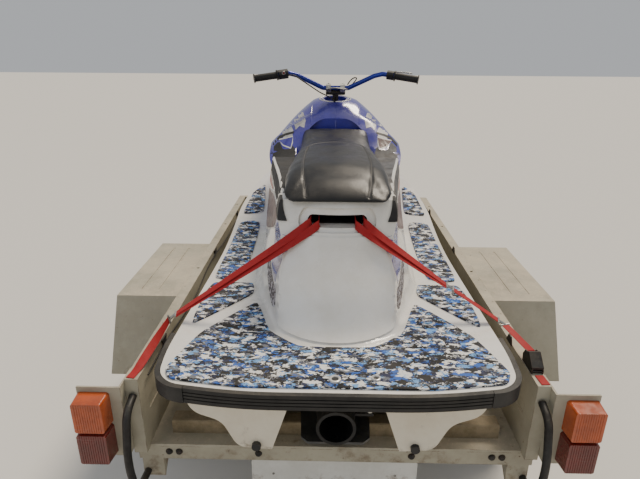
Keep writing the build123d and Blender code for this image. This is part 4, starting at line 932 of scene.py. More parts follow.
@dataclass(frozen=True)
class Moulding:
    """The craft's mouldings, brought from the drawing's sizes to those of the real craft.

    Rows of the arches give station, half width and height of the shoulder, and height of the crown. Rows of
    the pedestal give height, then half width at its nose, its waist and its front. All in millimetres.
    """

    drawn_arches: tuple[tuple[float, ...], ...] = (
        (1180, 262, 1075, 1160), (1400, 306, 1140, 1262), (1590, 286, 1165, 1372), (1760, 252, 1162, 1356),
        (1960, 214, 1144, 1300), (2210, 158, 1108, 1206), (2450, 92, 1062, 1096))
    real_arches: tuple[tuple[float, ...], ...] = (
        (1180, 278, 1122, 1176), (1400, 302, 1190, 1284), (1590, 294, 1186, 1398), (1760, 258, 1172, 1379),
        (1960, 216, 1150, 1312), (2210, 158, 1108, 1207), (2450, 92, 1062, 1096))
    drawn_pedestal: tuple[tuple[float, ...], ...] = (
        (800, 190, 305, 336), (870, 167, 267, 312), (960, 156, 240, 296), (1060, 145, 209, 278),
        (1150, 134, 182, 262))
    real_pedestal: tuple[tuple[float, ...], ...] = (
        (800, 190, 305, 336), (870, 176, 271, 314), (960, 178, 250, 302), (1060, 178, 228, 290),
        (1150, 173, 206, 276))
    stations: Outline = ((290, 660), (345, 682), (393, 707), (447, 735), (496, 760))
    pocket: tuple[tuple[float, float, float], ...] = ((1150, 164, 176), (1420, 126, 173))
    sheer: Outline = ((1060, 800), (1480, 872), (1740, 950), (2140, 1000), (2700, 1018))
    keep: float = 124.0
    top: float = 1150.0
    slot_top: float = 1128.5
    rise: float = 18.0
    foot: float = 801.0
    front: float = 1180.0
    front_edge: float = 1186.0
    reach: float = 345.0
    overhang: float = 1.15
    cowl_half: float = 336.0
    pocket_end: float = 1470.0
    pocket_flat: float = 1440.0
    pocket_ease: float = 40.0
    rim: float = 4.0

    def pedestal(self, x: float, s: float, z: float) -> tuple[float, float, float]:
        """Where a point of the deck lies on the real craft."""
        if z < self.foot or s > self.front_edge or abs(x) > self.reach:
            return x, s, z
        drawn, real = eased(self.drawn_pedestal, z), eased(self.real_pedestal, z)
        nose, waist = eased([(row[0], *ends) for row, ends in zip(self.drawn_pedestal, self.stations)], z)
        place_at = [nose, waist, self.front]
        half, wide = np.interp(s, place_at, drawn), np.interp(s, place_at, real)
        if abs(x) > self.keep:
            share = min((abs(x) - self.keep) / max(half - self.keep, 1.0), self.overhang)
            x += math.copysign((wide - half) * share, x)
        if z > self.slot_top:
            z += self.rise * (z - self.slot_top) / (self.top - self.slot_top)
        return x, s, z

    def bodywork(self, x: float, s: float, z: float) -> tuple[float, float, float]:
        """Where a point of the cowl or the hood lies on the real craft."""
        wide, shoulder, crown = eased(self.drawn_arches, s)
        new_wide, new_shoulder, new_crown = eased(self.real_arches, s)
        base = float(np.interp(s, *zip(*self.sheer)))
        if z < shoulder:
            share = max((z - base) / (shoulder - base), 0.0)
            lift, grow = (new_shoulder - shoulder) * share, 1 + (new_wide / wide - 1) * share
        else:
            share = (z - shoulder) / max(crown - shoulder, 1.0)
            lift = new_shoulder - shoulder + (new_crown - crown - new_shoulder + shoulder) * min(share, 1.0)
            grow = new_wide / wide
        out = abs(x) * grow
        if s < self.pocket_end:
            inner, new_inner = eased(self.pocket, s)
            if abs(x) <= inner:
                near = abs(x) * new_inner / inner
                if z < self.top + self.rim and s < self.pocket_flat:
                    lift = self.rise
            else:
                half = self.cowl_half
                near = new_inner + (abs(x) - inner) * (half * grow - new_inner) / (half - inner)
            share = min(max((self.pocket_end - s) / self.pocket_ease, 0.0), 1.0)
            out += (near - out) * share
        return math.copysign(out, x), s, z + lift

    def fit(self, obj: Obj, name: str) -> None:
        """Brings a copy of a node to the real craft's sizes, where the node is one of the mouldings."""
        move = {"deck": self.pedestal, "seat_corner_pads": self.pedestal, "cowl": self.bodywork,
                "hood": self.bodywork}.get(name)
        if not move:
            return
        for v in obj.data.vertices:
            v.co = place(*move(v.co.x / MM, (v.co.y + HALF_LENGTH) / MM, v.co.z / MM))


class Frame:
    """The CAD nodes, with smooth copies of those that are curved."""

    def __init__(self, nodes: dict[str, Obj]) -> None:
        """Takes the nodes of the loaded model."""
        self.nodes = nodes
        self.skins: dict[str, Obj] = {}

    def body(self, name: str) -> str:
        """The body that a node rides on."""
        return self.nodes[name]["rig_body"]

    def dress(self) -> None:
        """Gives every node its finish, and the curved ones a smooth copy in their place."""
        for name, obj in self.nodes.items():
            coated(obj, NODE_FINISHES[name])
        moulding = Moulding()
        for name in SMOOTH_NODES:
            skin = merged_copy(self.nodes[name], f"{name}_skin")
            moulding.fit(skin, name)
            self.skins[name] = settle(skin, self.body(name), NODE_FINISHES[name], name)

    def skin(self, *names: str) -> Skin:
        """The surface of some nodes."""
        return Skin(*[self.skins.get(name, self.nodes[name]) for name in names])


@dataclass
class Mats:
    """Foam mats on the flat parts of the deck, and the rings let into the rear one.

    Outlines give half width and station in millimetres, for one side; the rear mat is mirrored across the
    centre.
    """

    rear: Outline = (
        (120, 29), (250, 29), (442, 58), (463, 104), (412, 287), (266, 500), (205, 300), (110, 215))
    sides: tuple[Outline, ...] = (
        ((456, 330), (460, 560), (448, 640), (300, 640), (287, 560)),
        ((458, 672), (454, 1256), (352, 1266), (346, 690)),
        ((454, 1340), (432, 1560), (372, 1650), (350, 1360)))
    rings: tuple[tuple[float, float, float], ...] = ((-6, 60, 17), (101, 67, 13))
    thick: float = 6.0
    ring_sides: int = 28

    def build(self, frame: Frame) -> None:
        """Cuts and lays the mats."""
        skin = frame.skin("deck")
        outlines = [self.rear + sided(self.rear[::-1], -1)]
        for side in self.sides:
            outlines += [side, sided(side, -1)]
        body = frame.body("traction_mats")
        pieces = []
        for i, outline in enumerate(outlines):
            soft = tuple(rounded(rounded(list(outline), True, 1, 0.1), True, 1))
            sheet = Patch(f"mat_{i}", MATS, View.ABOVE, soft, lift=self.thick + 0.3, thick=self.thick, step=16.0,
                          soft=False)
            pieces.append(sheet.lay(skin, body))
        settle(joined("deck_mats", pieces), body, MATS, "traction_mats")
        for i, (x, y, radius) in enumerate(self.rings):
            marks = [[Mark(place(x, y, 800.0), Vector((0, 0, 1)))]]
            inner = 0.5 * radius
            ring = turned("ring", ((inner, 7.0), (inner + 1, 10.6), (0.7 * radius, 12.0), (0.9 * radius, 11.2),
                                   (radius, 8.0), (radius, 0.2), (inner, 0.2), (inner, 7.0)), self.ring_sides)
            Rule.MARKS.lay(f"deck_ring_{i}", marks, ring, SILVER, body)
            # The black disc inside each ring is painted shade, standing for the dark hole in its middle.
            hole = turned("hole", ((0, 8.4), (inner + 0.4, 8.4), (inner + 0.4, 7.0)), self.ring_sides)
            Rule.MARKS.lay(f"deck_ring_plug_{i}", marks, hole, PLASTIC, body)


@dataclass
class Saddle:
    """The long cushion: its sections, its sewn panel and the piping along its seams.

    The sections give station, half widths at the base, the side and the top, then the heights of the side,
    the top's edge and the crown, all in millimetres.
    """

    base: float = 1169.6
    inset: float = 5.0
    voxel: float = 0.006
    swell: float = 7.0
    panel_half: float = 112.0
    seam_depth: float = 2.6
    seam_half: float = 5.0
    seam_reach: float = 16.0
    slices: int = 74
    side_points: int = 6
    top_points: int = 10
    held_height: float = 9.0
    cloth_quality: int = 5
    pressure: float = 4.0
    last_frame: int = 20
    smoothing: float = 0.5
    smoothing_rounds: int = 26
    sections: tuple[tuple[float, ...], ...] = (
        (448, 154, 160, 140, 1174, 1182, 1186), (500, 170, 184, 146, 1188, 1214, 1222),
        (650, 174, 192, 132, 1196, 1242, 1257), (760, 172, 192, 129, 1197, 1246, 1258),
        (900, 168, 186, 127, 1196, 1248, 1262), (1150, 150, 169, 134, 1196, 1242, 1252),
        (1418, 150, 166, 154, 1216, 1260, 1269))

    def section(self, station: float, shrink: float) -> list[Vector]:
        """Points round one section, from the middle of the base."""
        base, side, top, side_z, top_z, crown = eased(self.sections, station)
        base, side, top = base - shrink, side - shrink, top - 0.5 * shrink
        top_z, crown = top_z - 0.8 * shrink, crown - shrink
        half = [(0.0, self.base), (base * 0.5, self.base), (base - 3, self.base), (base, self.base + 4)]
        bulge = 0.12 * (top_z - side_z)
        for i in range(self.side_points + 1):
            t = i / self.side_points
            lift = 4 * t * (1 - t) * bulge
            half.append((side + (top - side) * t + lift, side_z + (top_z - side_z) * t + lift))
        for i in range(1, self.top_points + 1):
            t = i / self.top_points
            half.append((top * (1 - t), crown - (crown - top_z) * (1 - t) ** 2))
        loop = half + [(-x, z) for x, z in half[-2:0:-1]]
        return [place(x, station, z) for x, z in loop]

    def shell(self) -> Obj:
        """The cushion before it is filled, a little smaller than its space."""
        work = bmesh.new()
        first, last = self.sections[0][0] + 2, self.sections[-1][0] - 2
        rings = []
        for i in range(self.slices + 1):
            station = first + (last - first) * i / self.slices
            rings.append([work.verts.new(p) for p in self.section(station, self.inset)])
        bridged(work, rings)
        return from_bmesh("saddle_cushion", work)

    def filled(self) -> Obj:
        """The cushion blown up by a cloth simulation, its base held flat."""
        shell = self.shell()
        grid = shell.modifiers.new("even_faces", "REMESH")
        grid.mode, grid.voxel_size = "VOXEL", self.voxel
        pad = meshed(shell)
        rest = [v.co.copy() for v in pad.data.vertices]
        low = (self.base + self.held_height) * MM
        held = pad.vertex_groups.new(name="held")
        held.add([i for i, at in enumerate(rest) if at.z < low], 1.0, "REPLACE")
        cloth = pad.modifiers.new("filling", "CLOTH")
        cloth.settings.quality = self.cloth_quality
        cloth.settings.use_pressure = True
        cloth.settings.uniform_pressure_force = self.pressure
        cloth.settings.effector_weights.gravity = 0.0
        cloth.settings.vertex_group_mass = "held"
        cloth.point_cache.frame_start, cloth.point_cache.frame_end = 1, self.last_frame
        for step in range(1, self.last_frame + 1):
            bpy.context.scene.frame_set(step)
        pad = meshed(pad)
        for v, at in zip(pad.data.vertices, rest):
            move = v.co - at
            if move.length > self.swell * MM:
                v.co = at + move.normalized() * self.swell * MM
        pad.vertex_groups.clear()
        taut = pad.modifiers.new("taut", "SMOOTH")
        taut.factor, taut.iterations = self.smoothing, self.smoothing_rounds
        finer = pad.modifiers.new("finer", "SUBSURF")
        finer.levels = finer.render_levels = 1
        return meshed(pad)

    def seams(self) -> list[list[Spot]]:
        """The sewn lines seen from above: the panel's outline, its flank seams and the front cross seam."""
        half = self.panel_half
        arch = [(half * math.cos(a), 975 + 82 * math.sin(a)) for a in np.linspace(0.0, math.pi, 15)]
        edge = [(half - 14, 462), (half, 560), (half + 8, 760)]
        panel = [*edge, *arch, *sided(tuple(edge[::-1]), -1)]
        flanks = [[(side * (half + 1), 985), (side * 146, 955), (side * 166, 925)] for side in (-1, 1)]
        return [panel, *flanks]

    def build(self, frame: Frame) -> None:
        """Makes the cushion and sews it."""
        pad = self.filled()
        seams = [rounded(seam, False, 2) for seam in self.seams()]
        lines = [divided(seam, 5.0) for seam in seams]
        near = [p for line in lines for p in line]
        for v in pad.data.vertices:
            if v.normal.z < 0.2:
                continue
            x, station = v.co.x / MM, (v.co.y + HALF_LENGTH) / MM
            away = min(math.hypot(x - a, station - b) for a, b in near)
            if away < self.seam_reach:
                v.co -= v.normal * self.seam_depth * MM * math.exp(-((away / self.seam_half) ** 2))
        smoothed(pad.data, 60.0)
        body = frame.body("seat")
        settle(pad, body, VINYL, "seat")
        skin = Skin(pad)
        thread, pipes = [], []
        for i, line in enumerate(lines):
            marks = skin.line(View.ABOVE, line, 6.0, 0.6)
            pipes.append(tube(f"piping_{i}", [m.at for m in marks], 1.5 * MM))
            for side in (-1, 1):
                offset = [(x + side * 5.0, y) for x, y in line]
                thread.append(skin.line(View.ABOVE, offset, 5.0, 0.15))
        # The piping's pale grey is a painted highlight along the seams.
        settle(joined("saddle_piping", pipes), body, PIPING_PAINTED_HIGHLIGHT)
        stitch = turned("stitch", ((0, -1.7), (0.5, -1.2), (0.5, 1.2), (0, 1.7)), 6, lie=True)
        Rule.PATH.lay("saddle_stitches", thread, stitch, THREAD, body, Pitch=0.005)


@dataclass
class Graphics:
    """Colours moulded into the bodywork, laid on its skin; outlines are in millimetres."""

    ledge: Outline = (
        (176, 566), (196, 600), (202, 700), (204, 790), (226, 930), (250, 1060), (269, 1177), (158, 1177),
        (172, 900), (178, 700))
    flank: Outline = (
        (600, 1160), (820, 1162), (1000, 1160), (1176, 1160), (1182, 1140), (1300, 1164), (1380, 1190), (1500, 1176),
        (1600, 1130), (1560, 1092), (1400, 1100), (1250, 1104), (1120, 1112), (900, 1118), (700, 1120), (600, 1130))
    stripe: Outline = (
        (880, 1108), (1120, 1100), (1300, 1092), (1480, 1084), (1700, 1024), (1725, 996), (1640, 990), (1470, 1016),
        (1300, 1030), (1120, 1050), (930, 1076))
    lower: Outline = (
        (600, 1108), (820, 1100), (1000, 1058), (1184, 1028), (1300, 1008), (1470, 992), (1600, 962), (1520, 926),
        (1400, 905), (1250, 890), (1100, 892), (900, 930), (740, 980), (620, 1030))
    patches: tuple[Outline, ...] = (
        ((148, 1268), (142, 1298), (158, 1326), (190, 1318), (178, 1300), (203, 1292), (188, 1258), (172, 1274)),
        ((206, 1216), (200, 1254), (222, 1284), (246, 1272), (234, 1256), (258, 1246), (244, 1214), (228, 1228)))
    wing: Outline = (
        (298, 1196), (268, 1226), (236, 1240), (196, 1252), (196, 1244), (236, 1231), (266, 1216), (296, 1188))
    under: Outline = ((272, 1214), (200, 1234), (198, 1206), (206, 1184), (244, 1192))
    shelf: Outline = (
        (158, 1182), (271, 1182), (284, 1230), (290, 1290), (250, 1298), (200, 1292), (160, 1250))
    back: Outline = (
        (288, 1172), (290, 1186), (274, 1202), (262, 1204), (244, 1182), (206, 1176), (200, 1196), (188, 1188),
        (184, 1172))
    creases: tuple[Outline, ...] = (
        ((-114, 1405), (-118, 1460), (-116, 1526)), ((2, 1396), (2, 1450), (2, 1503)),
        ((114, 1405), (118, 1460), (116, 1526)))

    def build(self, frame: Frame) -> None:
        """Lays every graphic on both sides."""
        skin = frame.skin("cowl", "hood", "deck")
        body = frame.body("cowl")
        for word, side, view, tone, low in (("left", -1, View.LEFT, GRAPHITE, VIOLET),
                                            ("right", 1, View.RIGHT, MARBLED, MAROON)):
            under = sided(self.under, side)
            for name, finish, seen, outline, options in (
                    ("ledge_panel", tone, View.ABOVE, sided(self.ledge, side), {"step": 12.0, "soft": False}),
                    ("cowl_shelf", tone, View.ABOVE, sided(self.shelf, side), {"step": 8.0, "soft": False}),
                    ("cowl_back", tone, View.REAR, sided(self.back, side), {"step": 6.0, "soft": False}),
                    ("flank_panel", tone, view, self.flank, {"step": 10.0}),
                    ("stripe_border", WHITE_LINE, view, self.stripe, {"lift": 1.1, "thick": 0.4}),
                    ("stripe", RED_STRIPE, view, shrunk(self.stripe, 7.0), {"lift": 1.6}),
                    ("lower_border", WHITE_LINE, view, self.lower, {"lift": 0.6, "thick": 0.4, "step": 10.0}),
                    ("lower_panel", MAROON, view, shrunk(self.lower, 5.0), {"lift": 1.0, "step": 10.0}),
                    ("wing_line", PLASTIC, View.REAR, sided(self.wing, side),
                     {"lift": 1.2, "step": 5.0, "soft": False}),
                    ("under_border", WHITE_LINE, View.REAR, under,
                     {"lift": 0.8, "thick": 0.4, "step": 6.0, "soft": False}),
                    ("under_wing", low, View.REAR, shrunk(under, 5.0), {"lift": 1.2, "step": 6.0, "soft": False})):
                Patch(f"{name}_{word}", finish, seen, outline, **options).lay(skin, body)
        for word, side in SIDES:
            for i, (outline, tone) in enumerate(zip(self.patches, (SILVER, SILVER if side < 0 else WHITE_LINE))):
                Patch(f"shoulder_patch_{i}_{word}", tone, View.REAR, sided(outline, side), step=5.0, soft=False
                      ).lay(skin, body)
        ribs = [tube(f"crease_{i}", [m.at for m in skin.line(View.ABOVE, line, 8.0, -1.2)], 3.2 * MM)
                for i, line in enumerate(self.creases)]
        settle(joined("dome_creases", ribs), body, VIOLET)


def shrunk(outline: Sequence[Spot], by: float) -> Outline:
    """An outline drawn in by a distance, for a shape that winds round without narrow bays."""
    count = len(outline)
    area = sum(outline[i - 1][0] * outline[i][1] - outline[i][0] * outline[i - 1][1] for i in range(count))
    way = 1 if area > 0 else -1
    made = []
    for i, (x, y) in enumerate(outline):
        before, after = Vector(outline[i - 1]), Vector(outline[(i + 1) % count])
        run = (after - before).normalized()
        made.append((x - way * run.y * by, y + way * run.x * by))
    return tuple(made)


@dataclass
class Pedestal:
    """The raised middle of the deck: its nose panel, the strips at its corners and the lining of the slot."""

    nose: Outline = (
        (0, 1068), (112, 1070), (142, 1040), (160, 1008), (170, 944), (184, 872), (192, 816), (120, 806), (0, 804))
    strip: Outline = ((424, 1070), (520, 1080), (650, 1062), (570, 960), (474, 902), (418, 905))
    pattern: Outline = ((412, 893), (472, 888), (590, 950), (606, 900), (530, 846), (398, 812))
    slot: tuple[float, float, float] = (76.0, 17.0, 1110.0)
    slot_stations: tuple[float, ...] = (484, 500, 530, 557)

    def build(self, frame: Frame) -> None:
        """Lays the panel and the strips on both sides."""
        skin = frame.skin("deck")
        body = frame.body("deck")
        outline = self.nose + sided(self.nose[-2:0:-1], -1)
        Patch("nose_panel", GELCOAT, View.REAR, outline, lift=4.5, thick=4.4, step=9.0).lay(skin, body)
        for view in (View.LEFT, View.RIGHT):
            side = view.name.lower()
            Patch(f"pedestal_strip_{side}", VIOLET, view, self.strip, step=9.0).lay(skin, body)
            Patch(f"pedestal_pattern_{side}", PRINT, view, self.pattern, step=9.0).lay(skin, body)
        self.lining(body)

    def lining(self, body: str) -> None:
        """A dark liner pressed into the hand-hold slot, with its back."""
        half, radius, middle = self.slot
        work = bmesh.new()
        ring = [(half + radius * math.cos(a), radius * math.sin(a))
                for a in np.linspace(-math.pi / 2, math.pi / 2, 13)]
        ring += [(-x, -z) for x, z in ring]
        rows = [[work.verts.new(place(x, s, middle + z)) for x, z in ring] for s in self.slot_stations]
        bridged(work, rows, capped=False)
        work.faces.new(rows[-1])
        settle(thickened(from_bmesh("slot_liner", work, ROUND_ANGLE), 0.6, 0.0), body, PLASTIC)


@dataclass
class Helm:
    """Small parts of the handlebar: clamp bolts, grip ribs, button, cable tube and slot ribs."""

    column: tuple[float, float] = (1520.0, 1443.0)
    lean: float = 30.0

    def local(self, x: float, ahead: float, up: float) -> Vector:
        """A point given along the bar, towards the bow and up the steering axis, in millimetres."""
        lean = math.radians(self.lean)
        station = self.column[0] + ahead * math.cos(lean) - up * math.sin(lean)
        return place(x, station, self.column[1] + ahead * math.sin(lean) + up * math.cos(lean))

    def build(self, frame: Frame) -> None:
        """Makes the parts on the bar, then the ribs round the column."""
        body = frame.body("handlebar")
        up = (self.local(0, 0, 1) - self.local(0, 0, 0)).normalized()
        bolt = turned("bolt", ((0, 0.6), (1.9, 0.6), (2.1, 3.4), (3.6, 3.4), (4.1, 2.6), (4.1, 0)), 16)
        marks = [Mark(self.local(x, ahead, 12.6), up) for x in (-34, 34) for ahead in (-15.1, 15.1)]
        Rule.MARKS.lay("clamp_bolts", [marks], bolt, STEEL, body)
        for word, side in reversed(SIDES):
            tip, way = self.grip(side)
            rib = turned("rib", ((16.0, -1.3), (16.9, -0.8), (16.9, 0.8), (16.0, 1.3)), 20, lie=True)
            line = [Mark(tip + way * t * MM, up, way) for t in range(8, 102, 6)]
            Rule.MARKS.lay(f"grip_ribs_{word}", [line], rib, RUBBER, body)
        self.button(body)
        cable = [self.local(*p) for p in ((-44, -30, 16), (-20, -36, 24), (6, -34, 22), (40, -30, 14), (58, -12, 2))]
        settle(tube("silver_cable", cable, 3.4 * MM), body, STEEL)
        loop = [self.local(*p) for p in ((64, 10, -6), (86, 30, 6), (104, 34, 30), (96, 26, 44), (72, 20, 34),
                                         (58, 16, 8))]
        settle(tube("cable_loop", loop, 3.0 * MM), body, PLASTIC)
        self.slot_ribs(frame)

    def grip(self, side: int) -> tuple[Vector, Vector]:
        """The outer end of the grip on a side, and the way in along it."""
        root, tip = self.local(side * 222, 0, 78), self.local(side * 382, -52, 82)
        return tip, (root - tip).normalized()

    def button(self, body: str) -> None:
        """The red stop button with its bright rim, on the rear of the left housing."""
        tip, way = self.grip(-1)
        rear = Vector((0, -1, 0.25))
        rear = (rear - way * rear.dot(way)).normalized()
        at = tip + way * 137 * MM + rear * 20.6 * MM
        rim = turned("button_rim", ((8.6, 0), (8.6, 1.8), (7.8, 2.6), (6.6, 2.6), (6.2, 1.0)), 20)
        Rule.MARKS.lay("stop_button_rim", [[Mark(at, rear, way)]], rim, STEEL, body)
        cap = turned("button_cap", ((0, 4.8), (2.6, 4.6), (4.6, 3.8), (5.6, 2.2), (5.7, 0)), 20)
        Rule.MARKS.lay("stop_button", [[Mark(at, rear, way)]], cap, RED_LENS, body)

    def slot_ribs(self, frame: Frame) -> None:
        """Two pale ribs round the dark slot that the column leaves the bodywork through."""
        skin = frame.skin("cowl")
        ribs = []
        for i, (wide, deep) in enumerate(((66, 44), (78, 55))):
            loop = [(wide * math.cos(a), 1578 + deep * math.sin(a)) for a in np.linspace(0, math.tau, 32)[:-1]]
            marks = skin.line(View.ABOVE, loop, 40.0, 0.8)
            ribs.append(tube(f"slot_rib_{i}", [m.at for m in marks], 2.4 * MM, closed=True))
        settle(joined("column_slot_ribs", ribs), frame.body("cowl"), WHITE_LINE)


@dataclass
class Wheels:
    """Tread blocks of both wheels."""

    half_track: float = 715.0
    station: float = 970.0
    radius: float = 289.0
    blocks: int = 56
    rows: Outline = ((-46, 0.3), (-28, -0.25), (-9.5, 0.2), (9.5, -0.2), (28, 0.25), (46, -0.3))
    shoulder: float = 40.0
    sunk: float = 4.2
    drop: float = 3.6
    lean: float = 0.28

    def build(self, frame: Frame) -> None:
        """Dresses both wheels; a row gives its offset from the middle and the skew of its blocks."""
        for word, side in SIDES:
            body = frame.body(f"tyre_{word}")
            marks = []
            for row, (x, skew) in enumerate(self.rows):
                outer = abs(x) > self.shoulder
                depth = self.radius - self.sunk - (self.drop if outer else 0.0)
                for i in range(self.blocks):
                    angle = math.tau * (i + 0.5 * (row % 2)) / self.blocks
                    out = Vector((0, math.cos(angle), math.sin(angle)))
                    round_way = Vector((0, -math.sin(angle), math.cos(angle)))
                    centre = Vector((side * self.half_track + x, self.station, self.radius)) + out * depth
                    along = (Vector((1, 0, 0)) + round_way * skew).normalized()
                    tilt = (out + Vector((math.copysign(self.lean, x), 0, 0))).normalized() if outer else out
                    marks.append(Mark(place(*centre), tilt, along))
            block = plate("block", ((-7.6, -12.6), (7.6, -12.6), (7.6, 12.6), (-7.6, 12.6)), 4.0, 0.8)
            Rule.MARKS.lay(f"tread_{word}", [marks], block, TYRE, body)


@dataclass
class Webbings:
    """Flat webbing with its weave: the runs of each strap, given as half width, station, height and wide way."""

    wide: float = 25.0
    thick: float = 2.2
    lie: float = 746.55
    top: float = 745.0

    def runs(self) -> dict[str, list[list[tuple[float, float, float, tuple[float, float, float]]]]]:
        """Each strap's runs; the second run of each side is the band that doubles the first."""
        up, out, flat = (0, 0, 1), (0, 0.55, 0.83), (0, 1, 0.2)
        slot = [(84, 530, 1110, up), (84, 478, 1110, up), (82, 429, 1109, out)]
        low = [(58, 528, 1103, up), (58, 478, 1103, up), (57, 419, 1102, out)]
        return {
            "left": [slot + [(508, 372, 822, flat)], low + [(507, 366, 819, flat)],
                     [(533, 364, 801, (0, 0.2, 1)), (562, 196, self.lie + 14, (1, 0.2, 0.4)),
                      (572, 170, self.lie, (1, 0.3, 0)), (578, 136, self.lie, (1, 0.3, 0))]],
            "right": [slot + [(348, 416, 915, flat)], low + [(346, 408, 913, flat)],
                      [(374, 412, 899, flat), (512, 377, 813, flat)],
                      [(536, 366, 799, (1, 0.3, 0)), (574, 250, self.top + 37, (1, 0, 0))],
                      [(576, 178, self.lie, (1, 0.2, 0)), (579, 136, self.lie, (1, 0.2, 0))]],
        }

    def band(self, name: str, run: Sequence[tuple[float, float, float, Point]], side: int) -> Obj:
        """One run of webbing with rounded selvedges and a UV map along it."""
        points = [place(side * x, y, z) for x, y, z, _ in run]
        ways = [Vector((side * w[0], w[1], w[2])) for *_, w in run]
        for _ in range(3):
            fine_p, fine_w = [points[0]], [ways[0]]
            for i in range(len(points) - 1):
                for t in (0.25, 0.75):
                    fine_p.append(points[i].lerp(points[i + 1], t))
                    fine_w.append(ways[i].normalized().lerp(ways[i + 1].normalized(), t))
            points, ways = fine_p + [points[-1]], fine_w + [ways[-1]]
        half, thin = self.wide / 2 * MM, self.thick / 2 * MM
        ring = [(-1, 0), (-0.94, 0.8), (-0.8, 1), (-0.4, 0.86), (0, 0.8), (0.4, 0.86), (0.8, 1), (0.94, 0.8), (1, 0),
                (0.94, -0.8), (0.8, -1), (0, -0.85), (-0.8, -1), (-0.94, -0.8)]
        work = bmesh.new()
        layer = work.loops.layers.uv.new("UVMap")
        rows, lengths = [], [0.0]
        for i, at in enumerate(points):
            run_way = (points[min(i + 1, len(points) - 1)] - points[max(i - 1, 0)]).normalized()
            u = (ways[i] - run_way * ways[i].dot(run_way)).normalized()
            n = run_way.cross(u)
            rows.append([work.verts.new(at + u * a * half + n * b * thin) for a, b in ring])
            if i:
                lengths.append(lengths[-1] + (at - points[i - 1]).length)
        for i in range(len(rows) - 1):
            for j in range(len(ring)):
                k = (j + 1) % len(ring)
                face = work.faces.new((rows[i][j], rows[i][k], rows[i + 1][k], rows[i + 1][j]))
                for loop, (row, col) in zip(face.loops, ((i, j), (i, k), (i + 1, k), (i + 1, j))):
                    loop[layer].uv = (lengths[row], ring[col][0] * 0.5 + 0.5)
        work.faces.new(rows[0])
        work.faces.new(rows[-1])
        return from_bmesh(name, work, 50.0)

    def build(self, frame: Frame) -> None:
        """Makes both straps and the spare roll on the right wall."""
        for word, side in SIDES:
            bands = [self.band(f"band_{word}_{i}", run, side) for i, run in enumerate(self.runs()[word])]
            if side > 0:
                bands.append(self.roll())
            settle(joined(f"webbing_{word}", bands), frame.body(f"strap_{word}"), STRAP, f"strap_{word}")

    def roll(self) -> Obj:
        """Spare webbing wound on the ratchet's spindle."""
        turns, pitch, inner, parts = 4.2, 2.7, 7.5, 28
        x, station, height = 574.0, 238.0, 769.0
        points = []
        for i in range(int(turns * parts)):
            angle, radius = math.tau * i / parts, inner + pitch * i / parts
            points.append((x, station + radius * math.cos(angle), height + radius * math.sin(angle), (1.0, 0.0, 0.0)))
        return self.band("roll", points, 1)


@dataclass
class Trailer:
    """Fasteners, lugs, cable and lamp details of the box trailer."""

    wall_inner: float = 555.0
    wall_top: float = 745.0
    rivets: Outline = tuple((584, s) for s in range(170, 2030, 93)) + tuple((602, s) for s in range(720, 1250, 66))

    def build(self, frame: Frame) -> None:
        """Adds each kind of small part."""
        self.walls(frame)
        self.rear(frame)
        self.lamps(frame)

    def walls(self, frame: Frame) -> None:
        """Rivets along the walls, dark tie lugs under the flanges, whose dark colour also paints the shadows that the
        lugs cast, and the thin cable beside the hull.
        """
        body = frame.body("box_floor")
        skin = frame.skin("side_wall_left", "side_wall_right", "fender_left", "fender_right", "front_board")
        marks = []
        for _, side in SIDES:
            found = [skin.under(View.ABOVE, *spot) for spot in sided(self.rivets, side)]
            marks += [mark for mark in found if mark and mark.out.z > 0.9]
        rivet = turned("rivet", ((0, 1.7), (1.8, 1.4), (3.2, 0.7), (3.7, 0)), 10)
        Rule.MARKS.lay("wall_rivets", [marks], rivet, OLIVE_DUST_AND_PAINTED_SUNLIT_TOPS, body)
        # The lugs are real, and their dark steel colour also stands in for the shadows they cast on the walls.
        lugs = [Mark(place(side * (self.wall_inner - 0.3), station, self.wall_top - 3), Vector((-side, 0, 0)),
                     Vector((0, 1, 0))) for _, side in SIDES for station in (360, 1130, 1720)]
        lug = plate("lug", ((-24, 0), (24, 0), (10, 26), (-10, 26)), 4.0, 0.6)
        lug.data.transform(Matrix.Rotation(math.pi, 4, "Z"))
        Rule.MARKS.lay("tie_lugs", [lugs], lug, DARK_STEEL, body)
        waves = [place(-self.wall_inner + 8 + 3 * math.sin(s / 90), s, 716 + 10 * math.sin(s / 140))
                 for s in range(180, 1990, 55)]
        settle(tube("wall_wire", waves, 2.6 * MM), body, PLASTIC)

    def rear(self, frame: Frame) -> None:
        """Bolts of the sill and the plate."""
        body = frame.body("rear_sill")
        skin = frame.skin("rear_sill", "number_plate", "chassis", "lamp_brackets")
        spots = ((-500, 470), (-470, 470), (470, 470), (500, 470), (-230, 468), (230, 468))
        marks = [m for m in (skin.under(View.REAR, *spot) for spot in spots) if m]
        nut = turned("nut", ((0, 7.4), (4.2, 7.4), (4.6, 6.2), (7.6, 6.2), (8.6, 5.4), (8.6, 0.8), (11, 0.8),
                             (11, 0)), 12)
        Rule.MARKS.lay("sill_bolts", [marks], nut, DARK_STEEL, body)
        screws = [m for m in (skin.under(View.REAR, x, z) for x in (-192, 192) for z in (430, 350)) if m]
        head = turned("screw", ((0, 1.1), (1.3, 1.1), (1.4, 2.2), (3.4, 1.9), (4.2, 0.9), (4.4, 0)), 12)
        Rule.MARKS.lay("plate_screws", [screws], head, STEEL, body)

    def lamps(self, frame: Frame) -> None:
        """Upright ribs over the lenses."""
        for name, finish in (("lamp_amber", AMBER), ("lamp_red", RED_LENS)):
            skin = frame.skin(name)
            lines = []
            low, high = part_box(name)
            for x in (side * 670 + i * 6.4 for _, side in SIDES for i in range(-5, 6)):
                marks = skin.line(View.REAR, [(x, high.z / MM - 7), (x, low.z / MM + 7)], 5.0, 0.2)
                if len(marks) > 2:
                    lines.append(marks)
            rib = turned("lens_rib", ((0, -2.7), (1.1, -2.4), (1.1, 2.4), (0, 2.7)), 6, lie=True)
            Rule.PATH.lay(f"{name}_ribs", lines, rib, finish, frame.body(name), Pitch=0.005)


